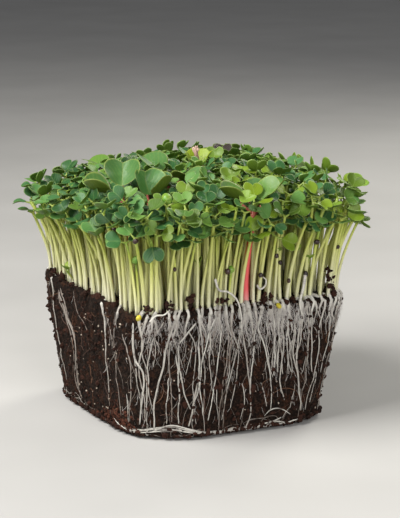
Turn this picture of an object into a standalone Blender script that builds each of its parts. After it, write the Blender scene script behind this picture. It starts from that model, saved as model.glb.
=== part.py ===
"""A block of microgreens: a moulded block of potting mix, held together by its white roots, with a dense
stand of seedlings on top.

The origin is the middle of the block's underside, the front is -Y, up is +Z, and sizes are in metres.
"""

import math
import random

import bmesh
import bpy
import numpy as np
from mathutils import Quaternion, Vector, noise

SEED = 11
ROOT_SEED = 1

# The block, a rounded rectangle that widens upwards as the container that moulded it did
BLOCK_WIDTH = 0.105
BLOCK_DEPTH = 0.1155
BLOCK_HEIGHT = 0.057
SIDE_TAPER = math.radians(3.8)
TOP_CORNER = 0.015
FOOT_CORNER = 0.029
FOOT_ROUND = 0.0035
RIM_ROUND = 0.0016
BLOCK_COLUMNS = 44
BLOCK_HEIGHTS = (0.0, 0.0007, 0.0035, 0.0125, 0.0215, 0.0305, 0.0395, 0.0475, 0.0545, 0.057)
PIT_DEPTH = 0.0009
PIT_SPACING = 0.011
PIT_CONTRAST = 0.75
CLEARANCE = 0.00035
ROOT_CLEARANCE = 0.00048

# The root net on the block's sides: upright roots that run down into a bundle round the foot
ROOTS_PER_SIDE = (("front", -90, 14), ("right", 0, 10), ("back", 90, 10), ("left", 180, 8))
ROOT_STEPS = 5
ROOT_SPREAD = 0.95
ROOT_PLACE = (0.2, 0.8)
ROOT_DRIFT = 0.05
ROOT_SWAY = (0.008, 0.02)
ROOT_WAVE = 5.5
ROOT_TOP_GAP = (0.002, 0.010)
ROOT_WIDTHS = (0.8, 1.5)
ROOT_RISES = (0.85, 1.2)
ROOT_TAPER = 0.45
ROOT_HALF_WIDTH = 0.0008
ROOT_RISE = 0.0009
ROOT_TURN = 0.01
BUNDLE_HEIGHT = 0.0027
BUNDLE_RADIUS = 0.00105
BUNDLE_STEPS = 52
BUNDLE_SINK = 0.0004
BUNDLE_WANDER = 0.0005
BUNDLE_SWELL = 0.25
BUNDLE_WAVES = 5

# Where the seedlings stand: clumps of two or three that share a knot of roots, each knot in its hole
CLUMP_COLUMNS = 7
CLUMP_ROWS = 7
CLUMP_INSET = 0.0068
CLUMP_JITTER = 0.0009
STEMS_AT_RIM = 3
STEMS_INSIDE = 2
RIM_CLUMPS = 0.75
STEM_RING = 0.0021
KNOT_RADIUS = 0.0039
KNOT_SPACING = 0.0094
RADISH_SPACING = 0.0075
SPREAD_ROUNDS = 30
KNOT_TOP = 0.0010
HOLE_DEPTH = 0.008
HOLE_SIDES = 6

# The seedlings: a slim stem and two notched seed leaves, leaning outwards over the rim
STEM_RADIUS = 0.0010
WAIST_SHARE = 0.65
STEM_FOOT_SHARE = 0.8
STEM_SINK = 0.006
STEM_STEPS = 3
LEAN = 0.0115
LEAN_CURVE = 1.7
CANOPY_LOW = 0.0385
CANOPY_HIGH = 0.0505
CANOPY_REACH = 0.0130
RIM_DROP = 0.0065
DROP_SHARES = (0.7, 1.2)
LOW_HEADING = math.radians(154)
LOW_FROM = 0.020
LOW_SLOPE = 0.18
LEAN_SHARES = (0.75, 1.15)
WANDER = 0.0048
LEAF_HALF = ((0.0007, -0.0006), (0.0047, 0.0056), (0.0029, 0.0098), (0.0, 0.0084))
SMALLEST_LEAF = 0.82
LARGEST_LEAF = 1.06
LEAF_THICKNESS = 0.0007
LEAF_CUP = 0.0010
LEAF_RISE = math.radians(38)
LEAF_BEND = 0.5
RIM_DROOP = (0.1, 0.6)
PLACE_TRIES = 600

# The larger radish seedlings, by eye from the front: place, height, the leaves' size, and each
# leaf's heading and rise
RADISH_LEAF_HALF = (
    (0.0008, -0.0006), (0.0010, 0.0058), (0.0060, 0.0082), (0.0077, 0.0132), (0.0046, 0.0182), (0.0, 0.0166)
)
RADISH_STEM_RADIUS = 0.0016
RADISH_HOLE = 0.00245
RADISH_TURN = math.radians(40)
RADISH_LEAN = 0.8
RADISHES = (
    ("radish_front", 0.0012, -0.0530, 0.0420, 1.0, ((154, 33), (5, 38))),
    ("radish_front_tall", 0.0072, -0.0445, 0.0405, 0.75, ((25, 64), (-165, 40))),
    ("radish_corner", -0.0410, -0.0270, 0.0450, 1.0, ((154, 20), (64, 62))),
    ("radish_corner_tall", -0.0330, -0.0330, 0.0415, 0.95, ((-30, 42), (110, 48))),
    ("radish_round", -0.0166, -0.0123, 0.0480, 1.0, ((115, 44), (-65, 14))),
    ("radish_crest", 0.0020, -0.0040, 0.0490, 0.68, ((112, 60), (12, 58))),
    ("radish_back", -0.0220, 0.0340, 0.0440, 0.9, ((110, 30), (-70, 24))),
    ("radish_right", 0.0370, 0.0260, 0.0430, 0.9, ((30, 20), (-150, 30))),
)

# The space that a leaf or stem takes, sampled and kept in small cubes, so that none crosses another
SAMPLE_STEP = 0.0008
CUBE = 0.0011
ROUNDING = 1e-9

SOIL_COLOUR = (0.022, 0.013, 0.010, 1)
ROOT_COLOUR = (0.62, 0.60, 0.52, 1)
STEM_COLOUR = (0.55, 0.62, 0.28, 1)
LEAF_COLOUR = (0.08, 0.24, 0.09, 1)
RADISH_STEM_COLOUR = (0.62, 0.13, 0.12, 1)


def clear_scene():
    for obj in list(bpy.data.objects):
        bpy.data.objects.remove(obj)


def plain_material(name, colour, roughness):
    material = bpy.data.materials.new(name)
    material.use_nodes = True
    shader = material.node_tree.nodes["Principled BSDF"]
    shader.inputs["Base Color"].default_value = colour
    shader.inputs["Roughness"].default_value = roughness
    shader.inputs["Metallic"].default_value = 0
    material.diffuse_color = colour
    return material


def mesh_object(name, points, faces, material_list, face_materials=None):
    mesh = bpy.data.meshes.new(name)
    mesh.from_pydata([tuple(point) for point in points], [], faces)
    for material in material_list:
        mesh.materials.append(material)
    if face_materials:
        mesh.polygons.foreach_set("material_index", face_materials)
    mesh.update()
    obj = bpy.data.objects.new(name, mesh)
    bpy.context.scene.collection.objects.link(obj)
    return obj


def block_size(height, out=0.0):
    """Width, depth and corner radius of the block at a height, grown outwards by out."""
    inset = (BLOCK_HEIGHT - height) * math.tan(SIDE_TAPER)
    if height < FOOT_ROUND:
        inset += FOOT_ROUND - math.sqrt(FOOT_ROUND**2 - (FOOT_ROUND - height) ** 2)
    over = height - (BLOCK_HEIGHT - RIM_ROUND)
    if over > 0:
        inset += RIM_ROUND - math.sqrt(max(RIM_ROUND**2 - over**2, 0.0))
    share = height / BLOCK_HEIGHT
    corner = FOOT_CORNER + (TOP_CORNER - FOOT_CORNER) * share
    return BLOCK_WIDTH + 2 * (out - inset), BLOCK_DEPTH + 2 * (out - inset), corner + out


def side_point(heading, height, out=0.0):
    """The point of the block's side in a heading from its middle, at a height, grown outwards by out."""
    width, depth, corner = block_size(height, out)
    dx, dy = math.cos(heading), math.sin(heading)
    reach = min(width / 2 / max(abs(dx), 1e-9), depth / 2 / max(abs(dy), 1e-9))
    core_x, core_y = width / 2 - corner, depth / 2 - corner
    if abs(dx) * reach > core_x and abs(dy) * reach > core_y:
        along = abs(dx) * core_x + abs(dy) * core_y
        reach = along + math.sqrt(along**2 - core_x**2 - core_y**2 + corner**2)
    return Vector((dx * reach, dy * reach, height))


def soil_block(materials, holes):
    """The block of potting mix: a tapered loft with pits in its sides, a flat foot and a hole for each knot."""
    points, faces = [], []
    for height in BLOCK_HEIGHTS:
        for column in range(BLOCK_COLUMNS):
            heading = 2 * math.pi * (column + 0.5) / BLOCK_COLUMNS
            point = side_point(heading, height)
            if 0 < height < BLOCK_HEIGHT:
                pit = 0.5 + PIT_CONTRAST * noise.noise(point / PIT_SPACING)
                point = side_point(heading, height, -PIT_DEPTH * min(max(pit, 0), 1))
            points.append(point)
    for row in range(len(BLOCK_HEIGHTS) - 1):
        for column in range(BLOCK_COLUMNS):
            a = row * BLOCK_COLUMNS + column
            b = row * BLOCK_COLUMNS + (column + 1) % BLOCK_COLUMNS
            faces.append((a, b, b + BLOCK_COLUMNS))
            faces.append((a, b + BLOCK_COLUMNS, a + BLOCK_COLUMNS))
    faces.append(tuple(reversed(range(BLOCK_COLUMNS))))
    last = (len(BLOCK_HEIGHTS) - 1) * BLOCK_COLUMNS
    faces.append(tuple(range(last, last + BLOCK_COLUMNS)))
    soil = mesh_object("soil_block", points, faces, [materials["soil"]])
    cutters = bpy.data.collections.new("hole_cutters")
    bpy.context.scene.collection.children.link(cutters)
    for x, y, radius in holes:
        top, bottom = BLOCK_HEIGHT + HOLE_DEPTH, BLOCK_HEIGHT - HOLE_DEPTH
        move_to(prism("hole", x, y, bottom, top, radius, HOLE_SIDES, materials["soil"]), cutters)
    joined_by_boolean(soil, cutters, "DIFFERENCE", "EXACT")
    return soil


def prism(name, x, y, bottom, top, radius, sides, material):
    """An upright prism with regular sides."""
    points = []
    for z in (bottom, top):
        for side in range(sides):
            angle = 2 * math.pi * side / sides
            points.append((x + radius * math.cos(angle), y + radius * math.sin(angle), z))
    faces = [tuple(reversed(range(sides))), tuple(range(sides, 2 * sides))]
    for side in range(sides):
        after = (side + 1) % sides
        faces.append((side, after, after + sides, side + sides))
    return mesh_object(name, points, faces, [material])


def move_to(obj, collection):
    bpy.context.scene.collection.objects.unlink(obj)
    collection.objects.link(obj)


def joined_by_boolean(obj, collection, operation, solver):
    """Joins a collection's solids to obj, or cuts them from it, and removes the collection."""
    modifier = obj.modifiers.new("join", "BOOLEAN")
    modifier.operation = operation
    modifier.operand_type = "COLLECTION"
    modifier.collection = collection
    modifier.solver = solver
    bpy.context.view_layer.update()
    graph = bpy.context.evaluated_depsgraph_get()
    mesh = bpy.data.meshes.new_from_object(obj.evaluated_get(graph))
    obj.modifiers.clear()
    obj.data = mesh
    mesh.name = obj.name
    for other in list(collection.objects):
        bpy.data.objects.remove(other)
    bpy.data.collections.remove(collection)


def ridge(points, half_width, rise):
    """A root that hugs the block: a three-sided ridge along points given as (heading, height) pairs."""
    corners, faces = [], []
    for index, (heading, height) in enumerate(points):
        taper = 1 - ROOT_TAPER * index / (len(points) - 1)
        middle = side_point(heading, height, ROOT_CLEARANCE)
        beside = side_point(heading + ROOT_TURN, height, ROOT_CLEARANCE)
        across = (beside - middle).normalized() * half_width * taper
        out = side_point(heading, height, ROOT_CLEARANCE + rise * taper)
        corners += [middle - across, middle + across, out]
    for step in range(len(points) - 1):
        for side in range(3):
            a, b = step * 3 + side, step * 3 + (side + 1) % 3
            faces.append((a, b, b + 3, a + 3))
    end = len(corners) - 3
    faces += [(2, 1, 0), (end, end + 1, end + 2)]
    return corners, faces


def foot_bundle(materials):
    """The bundle of roots that runs round the foot of the block, a closed four-sided ring."""
    points, faces = [], []
    for step in range(BUNDLE_STEPS):
        heading = 2 * math.pi * step / BUNDLE_STEPS
        wander = Vector((math.cos(heading), math.sin(heading), 0.5)) * BUNDLE_WAVES
        height = BUNDLE_HEIGHT + BUNDLE_WANDER * noise.noise(wander)
        radius = BUNDLE_RADIUS * (1 + BUNDLE_SWELL * noise.noise(wander * 2))
        middle = CLEARANCE + radius
        points += [
            side_point(heading, height, middle - radius),
            side_point(heading, height, middle) - Vector((0, 0, radius)),
            side_point(heading, height, middle + radius),
            side_point(heading, height, middle) + Vector((0, 0, radius)),
        ]
    count = len(points)
    for step in range(BUNDLE_STEPS):
        for side in range(4):
            a, b = step * 4 + side, step * 4 + (side + 1) % 4
            faces.append((a, (a + 4) % count, (b + 4) % count, b))
    return mesh_object("root_net", points, faces, [materials["root"]])


def root_net(materials, rng):
    """All the roots on the block's sides, fused with the bundle at the foot."""
    net = foot_bundle(materials)
    others = bpy.data.collections.new("upright_roots")
    bpy.context.scene.collection.children.link(others)
    for side, heading, count in ROOTS_PER_SIDE:
        length = BLOCK_DEPTH if side in ("left", "right") else BLOCK_WIDTH
        for number in range(count):
            share = (number + rng.uniform(*ROOT_PLACE)) / count - 0.5
            start = math.radians(heading) + math.atan2(share * length * ROOT_SPREAD, length / 2)
            top = BLOCK_HEIGHT - rng.uniform(*ROOT_TOP_GAP)
            drift = rng.uniform(-ROOT_DRIFT, ROOT_DRIFT)
            phase = rng.uniform(0, 2 * math.pi)
            sway = rng.uniform(*ROOT_SWAY)
            points = []
            for step in range(ROOT_STEPS + 1):
                t = step / ROOT_STEPS
                turn = start + drift * t + sway * math.sin(phase + ROOT_WAVE * t)
                points.append((turn, BUNDLE_HEIGHT - BUNDLE_SINK + (top - BUNDLE_HEIGHT) * t))
            width = ROOT_HALF_WIDTH * rng.uniform(*ROOT_WIDTHS)
            corners, faces = ridge(points, width, ROOT_RISE * rng.uniform(*ROOT_RISES))
            move_to(mesh_object("root", corners, faces, [materials["root"]]), others)
    recalculate_outside(net)
    for root in others.objects:
        recalculate_outside(root)
    joined_by_boolean(net, others, "UNION", "MANIFOLD")
    return net


def recalculate_outside(obj):
    shape = bmesh.new()
    shape.from_mesh(obj.data)
    bmesh.ops.recalc_face_normals(shape, faces=shape.faces[:])
    shape.to_mesh(obj.data)
    shape.free()


def leaf_outline(half):
    """Both sides of a leaf as (across, along) points, from the notch round to the notch."""
    right = list(reversed(half))
    left = [(-across, along) for across, along in half[:-1]]
    return right + left


def leaf_samples(half):
    """Points spread over the leaf's blade, to test what it would cross."""
    outline = leaf_outline(half)
    widest = max(across for across, along in outline)
    longest = max(along for across, along in outline)
    found = []
    for i in range(-int(widest / SAMPLE_STEP), int(widest / SAMPLE_STEP) + 1):
        for j in range(0, int(longest / SAMPLE_STEP) + 1):
            across, along = i * SAMPLE_STEP, j * SAMPLE_STEP
            if is_inside(across, along, outline):
                found.append((across, along))
    return found + outline


def is_inside(x, y, outline):
    inside = False
    for (x0, y0), (x1, y1) in zip(outline, outline[1:] + outline[:1]):
        if (y0 > y) != (y1 > y) and x < x0 + (x1 - x0) * (y - y0) / (y1 - y0):
            inside = not inside
    return inside


class Leaf:
    """Where one seed leaf is: its root on the stem, the way it points, and its size."""

    def __init__(self, root, heading, rise, half, size, lean_axis=None, lean_angle=0.0):
        along = Vector((math.cos(heading) * math.cos(rise), math.sin(heading) * math.cos(rise), math.sin(rise)))
        across = Vector((-math.sin(heading), math.cos(heading), 0))
        if lean_angle:
            turn = Quaternion(lean_axis, lean_angle)
            along.rotate(turn)
            across.rotate(turn)
        self.root, self.along, self.across = root, along, across
        self.normal = along.cross(across)
        self.half, self.size = half, size

    def points(self, outline, lift=0.0):
        """Places on the blade, or lifted off it, for (across, along) pairs on its flat outline."""
        across, along = np.array(outline).T
        cup = LEAF_CUP * np.abs(across) / max(pair[0] for pair in self.half)
        axes = np.array((self.across, self.along, self.normal)) * self.size
        return np.array(self.root) + np.stack((across, along, cup + lift), axis=1) @ axes

    def samples(self):
        return self.points(leaf_samples_of(self.half))


LEAF_SAMPLES = {}


def leaf_samples_of(half):
    if half not in LEAF_SAMPLES:
        LEAF_SAMPLES[half] = leaf_samples(half)
    return LEAF_SAMPLES[half]


class Seedling:
    """A stem from the block's top to its tip, and the two leaves there."""

    def __init__(self, x, y, tip, radius, leaves):
        self.base = Vector((x, y, BLOCK_HEIGHT))
        self.tip, self.radius, self.leaves = tip, radius, leaves

    def stem_point(self, t):
        lean = (self.tip - self.base) * max(t, 0) ** LEAN_CURVE
        rise = (self.tip.z - self.base.z) * t
        return Vector((self.base.x + lean.x, self.base.y + lean.y, self.base.z + rise))

    def samples(self):
        steps = int((self.tip.z - self.base.z) / SAMPLE_STEP)
        stem = np.array([self.stem_point(step / steps) for step in range(2, steps + 1)])
        return np.concatenate([stem] + [leaf.samples() for leaf in self.leaves])


class Crowd:
    """The small cubes that stems and leaves already take."""

    def __init__(self):
        self.taken = set()

    def has_room(self, seedling):
        cubes = np.floor(seedling.samples() / CUBE).astype(int)
        return not any(tuple(cube) in self.taken for cube in cubes.tolist())

    def add(self, seedling):
        cubes = np.floor(seedling.samples() / CUBE).astype(int)
        for x, y, z in set(map(tuple, cubes.tolist())):
            for dx in (-1, 0, 1):
                for dy in (-1, 0, 1):
                    for dz in (-1, 0, 1):
                        self.taken.add((x + dx, y + dy, z + dz))


def kept_inside(place, inset):
    """A place on the block's top, drawn in to a rounded rectangle that is inset from the rim."""
    reach_x, reach_y = BLOCK_WIDTH / 2 - inset, BLOCK_DEPTH / 2 - inset
    corner = TOP_CORNER - inset
    x, y = min(abs(place.x), reach_x), min(abs(place.y), reach_y)
    over = Vector((max(x - reach_x + corner, 0), max(y - reach_y + corner, 0)))
    if over.length > corner:
        shorter = over.normalized() * corner - over
        x, y = x + shorter.x, y + shorter.y
    return Vector((math.copysign(x, place.x), math.copysign(y, place.y)))


def within_reach(seedling):
    """Whether no leaf reaches further past the block's rim than the canopy does."""
    for leaf in seedling.leaves:
        for x, y, z in leaf.points(leaf_outline(leaf.half)):
            place = Vector((x, y))
            if (kept_inside(place, -CANOPY_REACH) - place).length > ROUNDING:
                return False
    return True


def clump_places(rng):
    """The middle of each knot: a loose grid, pushed apart so that each hole keeps mix round it."""
    reach_x, reach_y = BLOCK_WIDTH / 2 - CLUMP_INSET, BLOCK_DEPTH / 2 - CLUMP_INSET
    places = []
    for row in range(CLUMP_ROWS):
        for column in range(CLUMP_COLUMNS):
            x = reach_x * (2 * column / (CLUMP_COLUMNS - 1) - 1)
            y = reach_y * (2 * row / (CLUMP_ROWS - 1) - 1)
            jitter = Vector((rng.uniform(-1, 1), rng.uniform(-1, 1))) * CLUMP_JITTER
            places.append(kept_inside(Vector((x, y)) + jitter, CLUMP_INSET))
    fixed = [Vector((x, y)) for name, x, y, height, size, headings in RADISHES]
    for _ in range(SPREAD_ROUNDS):
        for index, place in enumerate(places):
            near = [(other, KNOT_SPACING) for other in places if other is not place]
            near += [(other, RADISH_SPACING) for other in fixed]
            for other, least in near:
                apart = place - other
                if apart.length < least:
                    place = place + apart.normalized() * (least - apart.length)
            places[index] = kept_inside(place, CLUMP_INSET)
    return [(place.x, place.y) for place in places]


def lean_at(x, y):
    """How far the tip of a seedling leans out, which grows steeply towards the rim."""
    return Vector((LEAN * (2 * x / BLOCK_WIDTH) ** 3, LEAN * (2 * y / BLOCK_DEPTH) ** 3, 0))


def lowered(x, y):
    """How much lower the stand is towards its back left corner."""
    along = x * math.cos(LOW_HEADING) + y * math.sin(LOW_HEADING)
    return LOW_SLOPE * max(along - LOW_FROM, 0.0)


def draw_seedling(x, y, rng):
    """One seedling that stands at x, y, with its height, its lean and its leaves drawn at random."""
    lean = lean_at(x, y)
    rim = min(lean.length / LEAN, 1.0)
    height = rng.uniform(CANOPY_LOW, CANOPY_HIGH) - RIM_DROP * rim * rng.uniform(*DROP_SHARES) - lowered(x, y)
    wander = Vector((rng.uniform(-WANDER, WANDER), rng.uniform(-WANDER, WANDER), height))
    tip = Vector((x, y, BLOCK_HEIGHT)) + lean * rng.uniform(*LEAN_SHARES) + wander
    heading = rng.uniform(0, 2 * math.pi)
    lean_axis = Vector((-lean.y, lean.x, 0))
    leaves = []
    for turn in (0, math.pi + rng.uniform(-LEAF_BEND, LEAF_BEND)):
        rise = rng.uniform(0, LEAF_RISE)
        size = rng.uniform(SMALLEST_LEAF, LARGEST_LEAF)
        droop = rim * rng.uniform(*RIM_DROOP)
        leaves.append(Leaf(tip, heading + turn, rise, LEAF_HALF, size, lean_axis, droop))
    return Seedling(x, y, tip, STEM_RADIUS, leaves)


def place_radishes(crowd, rng):
    """The larger seedlings, each leaf turned a little further at each try until it crosses no other."""
    radishes = []
    for name, x, y, height, size, headings in RADISHES:
        tip = Vector((x, y, BLOCK_HEIGHT + height)) + lean_at(x, y) * RADISH_LEAN
        for attempt in range(PLACE_TRIES):
            leaves = []
            for heading, rise in headings:
                turn = RADISH_TURN * attempt / PLACE_TRIES
                heading = math.radians(heading) + rng.uniform(-turn, turn)
                rise = math.radians(rise) + rng.uniform(-turn, turn)
                leaves.append(Leaf(tip, heading, rise, RADISH_LEAF_HALF, size))
            radish = Seedling(x, y, tip, RADISH_STEM_RADIUS, leaves)
            if crowd.has_room(radish):
                break
        crowd.add(radish)
        radishes.append((name, radish))
    return radishes


def place_clumps(crowd, rng):
    """The seedlings of every clump, each drawn again until it crosses none that already stands."""
    clumps = []
    for x, y in clump_places(rng):
        turn = rng.uniform(0, 2 * math.pi)
        rim = max(abs(x) / (BLOCK_WIDTH / 2), abs(y) / (BLOCK_DEPTH / 2))
        count = STEMS_AT_RIM if rim > RIM_CLUMPS else STEMS_INSIDE
        stems = []
        for number in range(count):
            angle = turn + 2 * math.pi * number / count
            stem_x = x + STEM_RING * math.cos(angle)
            stem_y = y + STEM_RING * math.sin(angle)
            for _ in range(PLACE_TRIES):
                seedling = draw_seedling(stem_x, stem_y, rng)
                if within_reach(seedling) and crowd.has_room(seedling):
                    crowd.add(seedling)
                    stems.append(seedling)
                    break
        clumps.append((x, y, stems))
    return clumps


def blade_edge(leaf, lift):
    """The blade's outline from its right side round the notch to its left, without its root, lifted or lowered."""
    right = [(-across, along) for across, along in leaf.half[1:-1]]
    left = [(across, along) for across, along in reversed(leaf.half[1:-1])]
    return list(leaf.points(right + [leaf.half[-1]] + left, lift / leaf.size))


def seedling_solid(name, seedling, materials):
    """One closed solid: a four-sided stem whose top ring is the underside of the waist between the two blades.

    Both faces of a blade are split alike, as a fan from its notch.
    """
    first, second = seedling.leaves
    ahead = first.along - second.along
    ahead = Vector((ahead.x, ahead.y, 0)).normalized()
    left = Vector((-ahead.y, ahead.x, 0))
    square = [ahead - left, ahead + left, -ahead + left, -ahead - left]
    waist = seedling.radius * WAIST_SHARE
    points, faces = [], []
    for lift in (LEAF_THICKNESS / 2, -LEAF_THICKNESS / 2):
        corners = [seedling.tip + corner * waist + Vector((0, 0, lift)) for corner in square]
        points += [corners[0], *blade_edge(first, lift), corners[1]]
        points += [corners[2], *blade_edge(second, lift), corners[3]]
    count = len(points) // 2
    blade = count // 2
    notch = blade // 2
    for start in (0, blade):
        for step in range(blade):
            a, b = start + step, start + (step + 1) % blade
            if notch not in (step, (step + 1) % blade):
                faces.append((start + notch, a, b))
                faces.append((start + notch + count, b + count, a + count))
    rim = [0, blade - 1, blade, count - 1]
    faces.append(tuple(rim))
    for step in range(count):
        after = (step + 1) % count
        faces.append((step, step + count, after))
        faces.append((after, step + count, after + count))
    kinds = [1] * len(faces)
    above = [corner + count for corner in rim]
    for step in range(STEM_STEPS - 1, -2, -1):
        t = step / STEM_STEPS
        middle = seedling.stem_point(t) if step >= 0 else seedling.base - Vector((0, 0, STEM_SINK))
        half = seedling.radius * (STEM_FOOT_SHARE + (WAIST_SHARE - STEM_FOOT_SHARE) * max(t, 0))
        below = list(range(len(points), len(points) + 4))
        points += [middle + corner * half for corner in square]
        for side in range(4):
            after = (side + 1) % 4
            faces.append((above[side], below[side], above[after]))
            faces.append((above[after], below[side], below[after]))
        above = below
    faces.append(tuple(reversed(above)))
    kinds += [0] * (len(faces) - len(kinds))
    return mesh_object(name, points, faces, [materials["stem"], materials["leaf"]], kinds)


def fused_node(first, others):
    """One named solid out of a first solid and the rest of its repeats."""
    collection = bpy.data.collections.new(first.name + "_repeats")
    bpy.context.scene.collection.children.link(collection)
    for obj in others:
        move_to(obj, collection)
    joined_by_boolean(first, collection, "UNION", "MANIFOLD")
    return first


def build_clump(number, clump, materials):
    x, y, stems = clump
    bottom, top = BLOCK_HEIGHT - HOLE_DEPTH + CLEARANCE, BLOCK_HEIGHT - KNOT_TOP
    name = f"clump_{number:02d}"
    knot = prism(name, x, y, bottom, top, KNOT_RADIUS, HOLE_SIDES, materials["stem"])
    knot.data.materials.append(materials["leaf"])
    return fused_node(knot, [seedling_solid("seedling", seedling, materials) for seedling in stems])


def build_radish(name, seedling, materials):
    return seedling_solid(name, seedling, {"stem": materials["radish_stem"], "leaf": materials["leaf"]})


def make_materials():
    return {
        "soil": plain_material("potting_mix", SOIL_COLOUR, 0.95),
        "root": plain_material("white_root", ROOT_COLOUR, 0.6),
        "stem": plain_material("pale_stem", STEM_COLOUR, 0.45),
        "leaf": plain_material("seed_leaf", LEAF_COLOUR, 0.45),
        "radish_stem": plain_material("pink_stem", RADISH_STEM_COLOUR, 0.4),
    }


def build():
    clear_scene()
    rng = random.Random(SEED)
    materials = make_materials()
    crowd = Crowd()
    radishes = place_radishes(crowd, rng)
    clumps = place_clumps(crowd, rng)
    hole_gap = CLEARANCE / math.cos(math.pi / HOLE_SIDES)
    holes = [(x, y, KNOT_RADIUS + hole_gap) for x, y, stems in clumps]
    holes += [(radish.base.x, radish.base.y, RADISH_HOLE) for name, radish in radishes]
    soil_block(materials, holes)
    root_net(materials, random.Random(ROOT_SEED))
    for number, clump in enumerate(clumps, start=1):
        build_clump(number, clump, materials)
    for name, radish in radishes:
        build_radish(name, radish, materials)
    standing = sum(len(stems) for x, y, stems in clumps)
    print(f"{standing} small seedlings in {len(clumps)} clumps, and {len(radishes)} radish seedlings")


build()
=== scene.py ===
import functools
import itertools
import math
import random

import bpy
import numpy as np
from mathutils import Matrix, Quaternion, Vector, noise


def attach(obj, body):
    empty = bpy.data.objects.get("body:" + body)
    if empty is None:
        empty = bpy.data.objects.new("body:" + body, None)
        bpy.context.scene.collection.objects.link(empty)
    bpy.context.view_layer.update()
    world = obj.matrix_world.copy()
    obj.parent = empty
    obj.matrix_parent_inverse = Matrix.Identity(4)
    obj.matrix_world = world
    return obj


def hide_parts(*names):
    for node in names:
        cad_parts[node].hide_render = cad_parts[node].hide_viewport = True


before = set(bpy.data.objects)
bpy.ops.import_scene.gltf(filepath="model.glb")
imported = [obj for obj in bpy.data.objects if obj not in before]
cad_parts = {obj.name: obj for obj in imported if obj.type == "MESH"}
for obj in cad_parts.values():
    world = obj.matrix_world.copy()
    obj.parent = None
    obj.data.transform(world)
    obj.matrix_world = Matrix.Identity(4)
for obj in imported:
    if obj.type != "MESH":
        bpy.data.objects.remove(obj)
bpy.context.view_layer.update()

# The camera, fitted to the outline of the block in the photo, which is 400 by 518 pixels
PHOTO_WIDTH = 400
PHOTO_HEIGHT = 518
SENSOR = 36.0
LENS = 149.7
AZIMUTH = math.radians(-25.65)
ELEVATION = math.radians(12.85)
DISTANCE = 0.971
LOOKED_AT = Vector((0, 0, 0.0533))
AIM_RIGHT = 0.0045
AIM_UP = 0.0133

# The block and where its seedlings stand, as in the part's source, so that the fine ones stand there too
SEED = 11
BLOCK_WIDTH = 0.105
BLOCK_DEPTH = 0.1155
BLOCK_HEIGHT = 0.057
SIDE_TAPER = math.radians(3.8)
TOP_CORNER = 0.015
FOOT_CORNER = 0.029
FOOT_ROUND = 0.0035
RIM_ROUND = 0.0016
RIM_HEIGHT = BLOCK_HEIGHT - RIM_ROUND
CLUMP_COLUMNS = 7
CLUMP_ROWS = 7
CLUMP_INSET = 0.0068
CLUMP_JITTER = 0.0009
STEMS_AT_RIM = 3
STEMS_INSIDE = 2
RIM_CLUMPS = 0.75
STEM_RING = 0.0021
KNOT_SPACING = 0.0094
RADISH_SPACING = 0.0075
SPREAD_ROUNDS = 30
STEM_RADIUS = 0.0010
LEAN = 0.0115
LEAN_CURVE = 1.7
CANOPY_REACH = 0.0130
RIM_DROP = 0.0065
DROP_SHARES = (0.7, 1.2)
LOW_HEADING = math.radians(154)
LOW_FROM = 0.020
LOW_SLOPE = 0.18
LEAN_SHARES = (0.75, 1.15)
WANDER = 0.0048
LEAF_HALF = ((0.0007, -0.0006), (0.0047, 0.0056), (0.0029, 0.0098), (0.0, 0.0084))
LEAF_CUP = 0.0010
LEAF_BEND = 0.5
PLACE_TRIES = 600
RADISH_LEAF_HALF = (
    (0.0008, -0.0006), (0.0010, 0.0058), (0.0060, 0.0082), (0.0077, 0.0132), (0.0046, 0.0182), (0.0, 0.0166)
)
RADISH_STEM_RADIUS = 0.0016
RADISH_TURN = math.radians(40)
RADISH_LEAN = 0.8

# The larger seedlings: name, place, height, leaf size, and each leaf's heading and rise in degrees
RADISHES = (
    ("radish_front", 0.0012, -0.0530, 0.0420, 1.0, ((154, 33), (5, 38))),
    ("radish_front_tall", 0.0072, -0.0445, 0.0405, 0.75, ((25, 64), (-165, 40))),
    ("radish_corner", -0.0410, -0.0270, 0.0450, 1.0, ((154, 20), (64, 62))),
    ("radish_corner_tall", -0.0330, -0.0330, 0.0415, 0.95, ((-30, 42), (110, 48))),
    ("radish_round", -0.0166, -0.0123, 0.0480, 1.0, ((115, 44), (-65, 14))),
    ("radish_crest", 0.0020, -0.0040, 0.0490, 0.68, ((112, 60), (12, 58))),
    ("radish_back", -0.0220, 0.0340, 0.0440, 0.9, ((110, 30), (-70, 24))),
    ("radish_right", 0.0370, 0.0260, 0.0430, 0.9, ((30, 20), (-150, 30))),
)

# How finely a seedling is sampled, and the cubes of space that it takes
SAMPLE_STEP = 0.0008
CUBE = 0.0011
ROUNDING = 1e-9

# The rest of the stand: a row along the rim, and a jittered grid inside it
STAND_SEED = 5
RIM_ROW_INSET = 0.0022
RIM_ROW_SPACING = 0.0031
GRID_INSET = 0.0050
GRID_SPACING = 0.0043
ROW_SHARE = math.sqrt(0.75)
GRID_JITTER = 0.0011
STAND_GAP = 0.0021
STAND_TRIES = 12
STAND_RADIUS = (0.00065, 0.00100)

# How seedlings grow: their heights, leaf sizes and steepest leaf, how far those at the rim droop, and how
# little they lean where the stand is low
CLUMP_GROWTH = ((0.0385, 0.0505), (0.82, 1.06), math.radians(38), (0.1, 0.6), 0)
STAND_GROWTH = ((0.0355, 0.0510), (0.68, 1.02), math.radians(58), (0.35, 1.15), 75)

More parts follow.
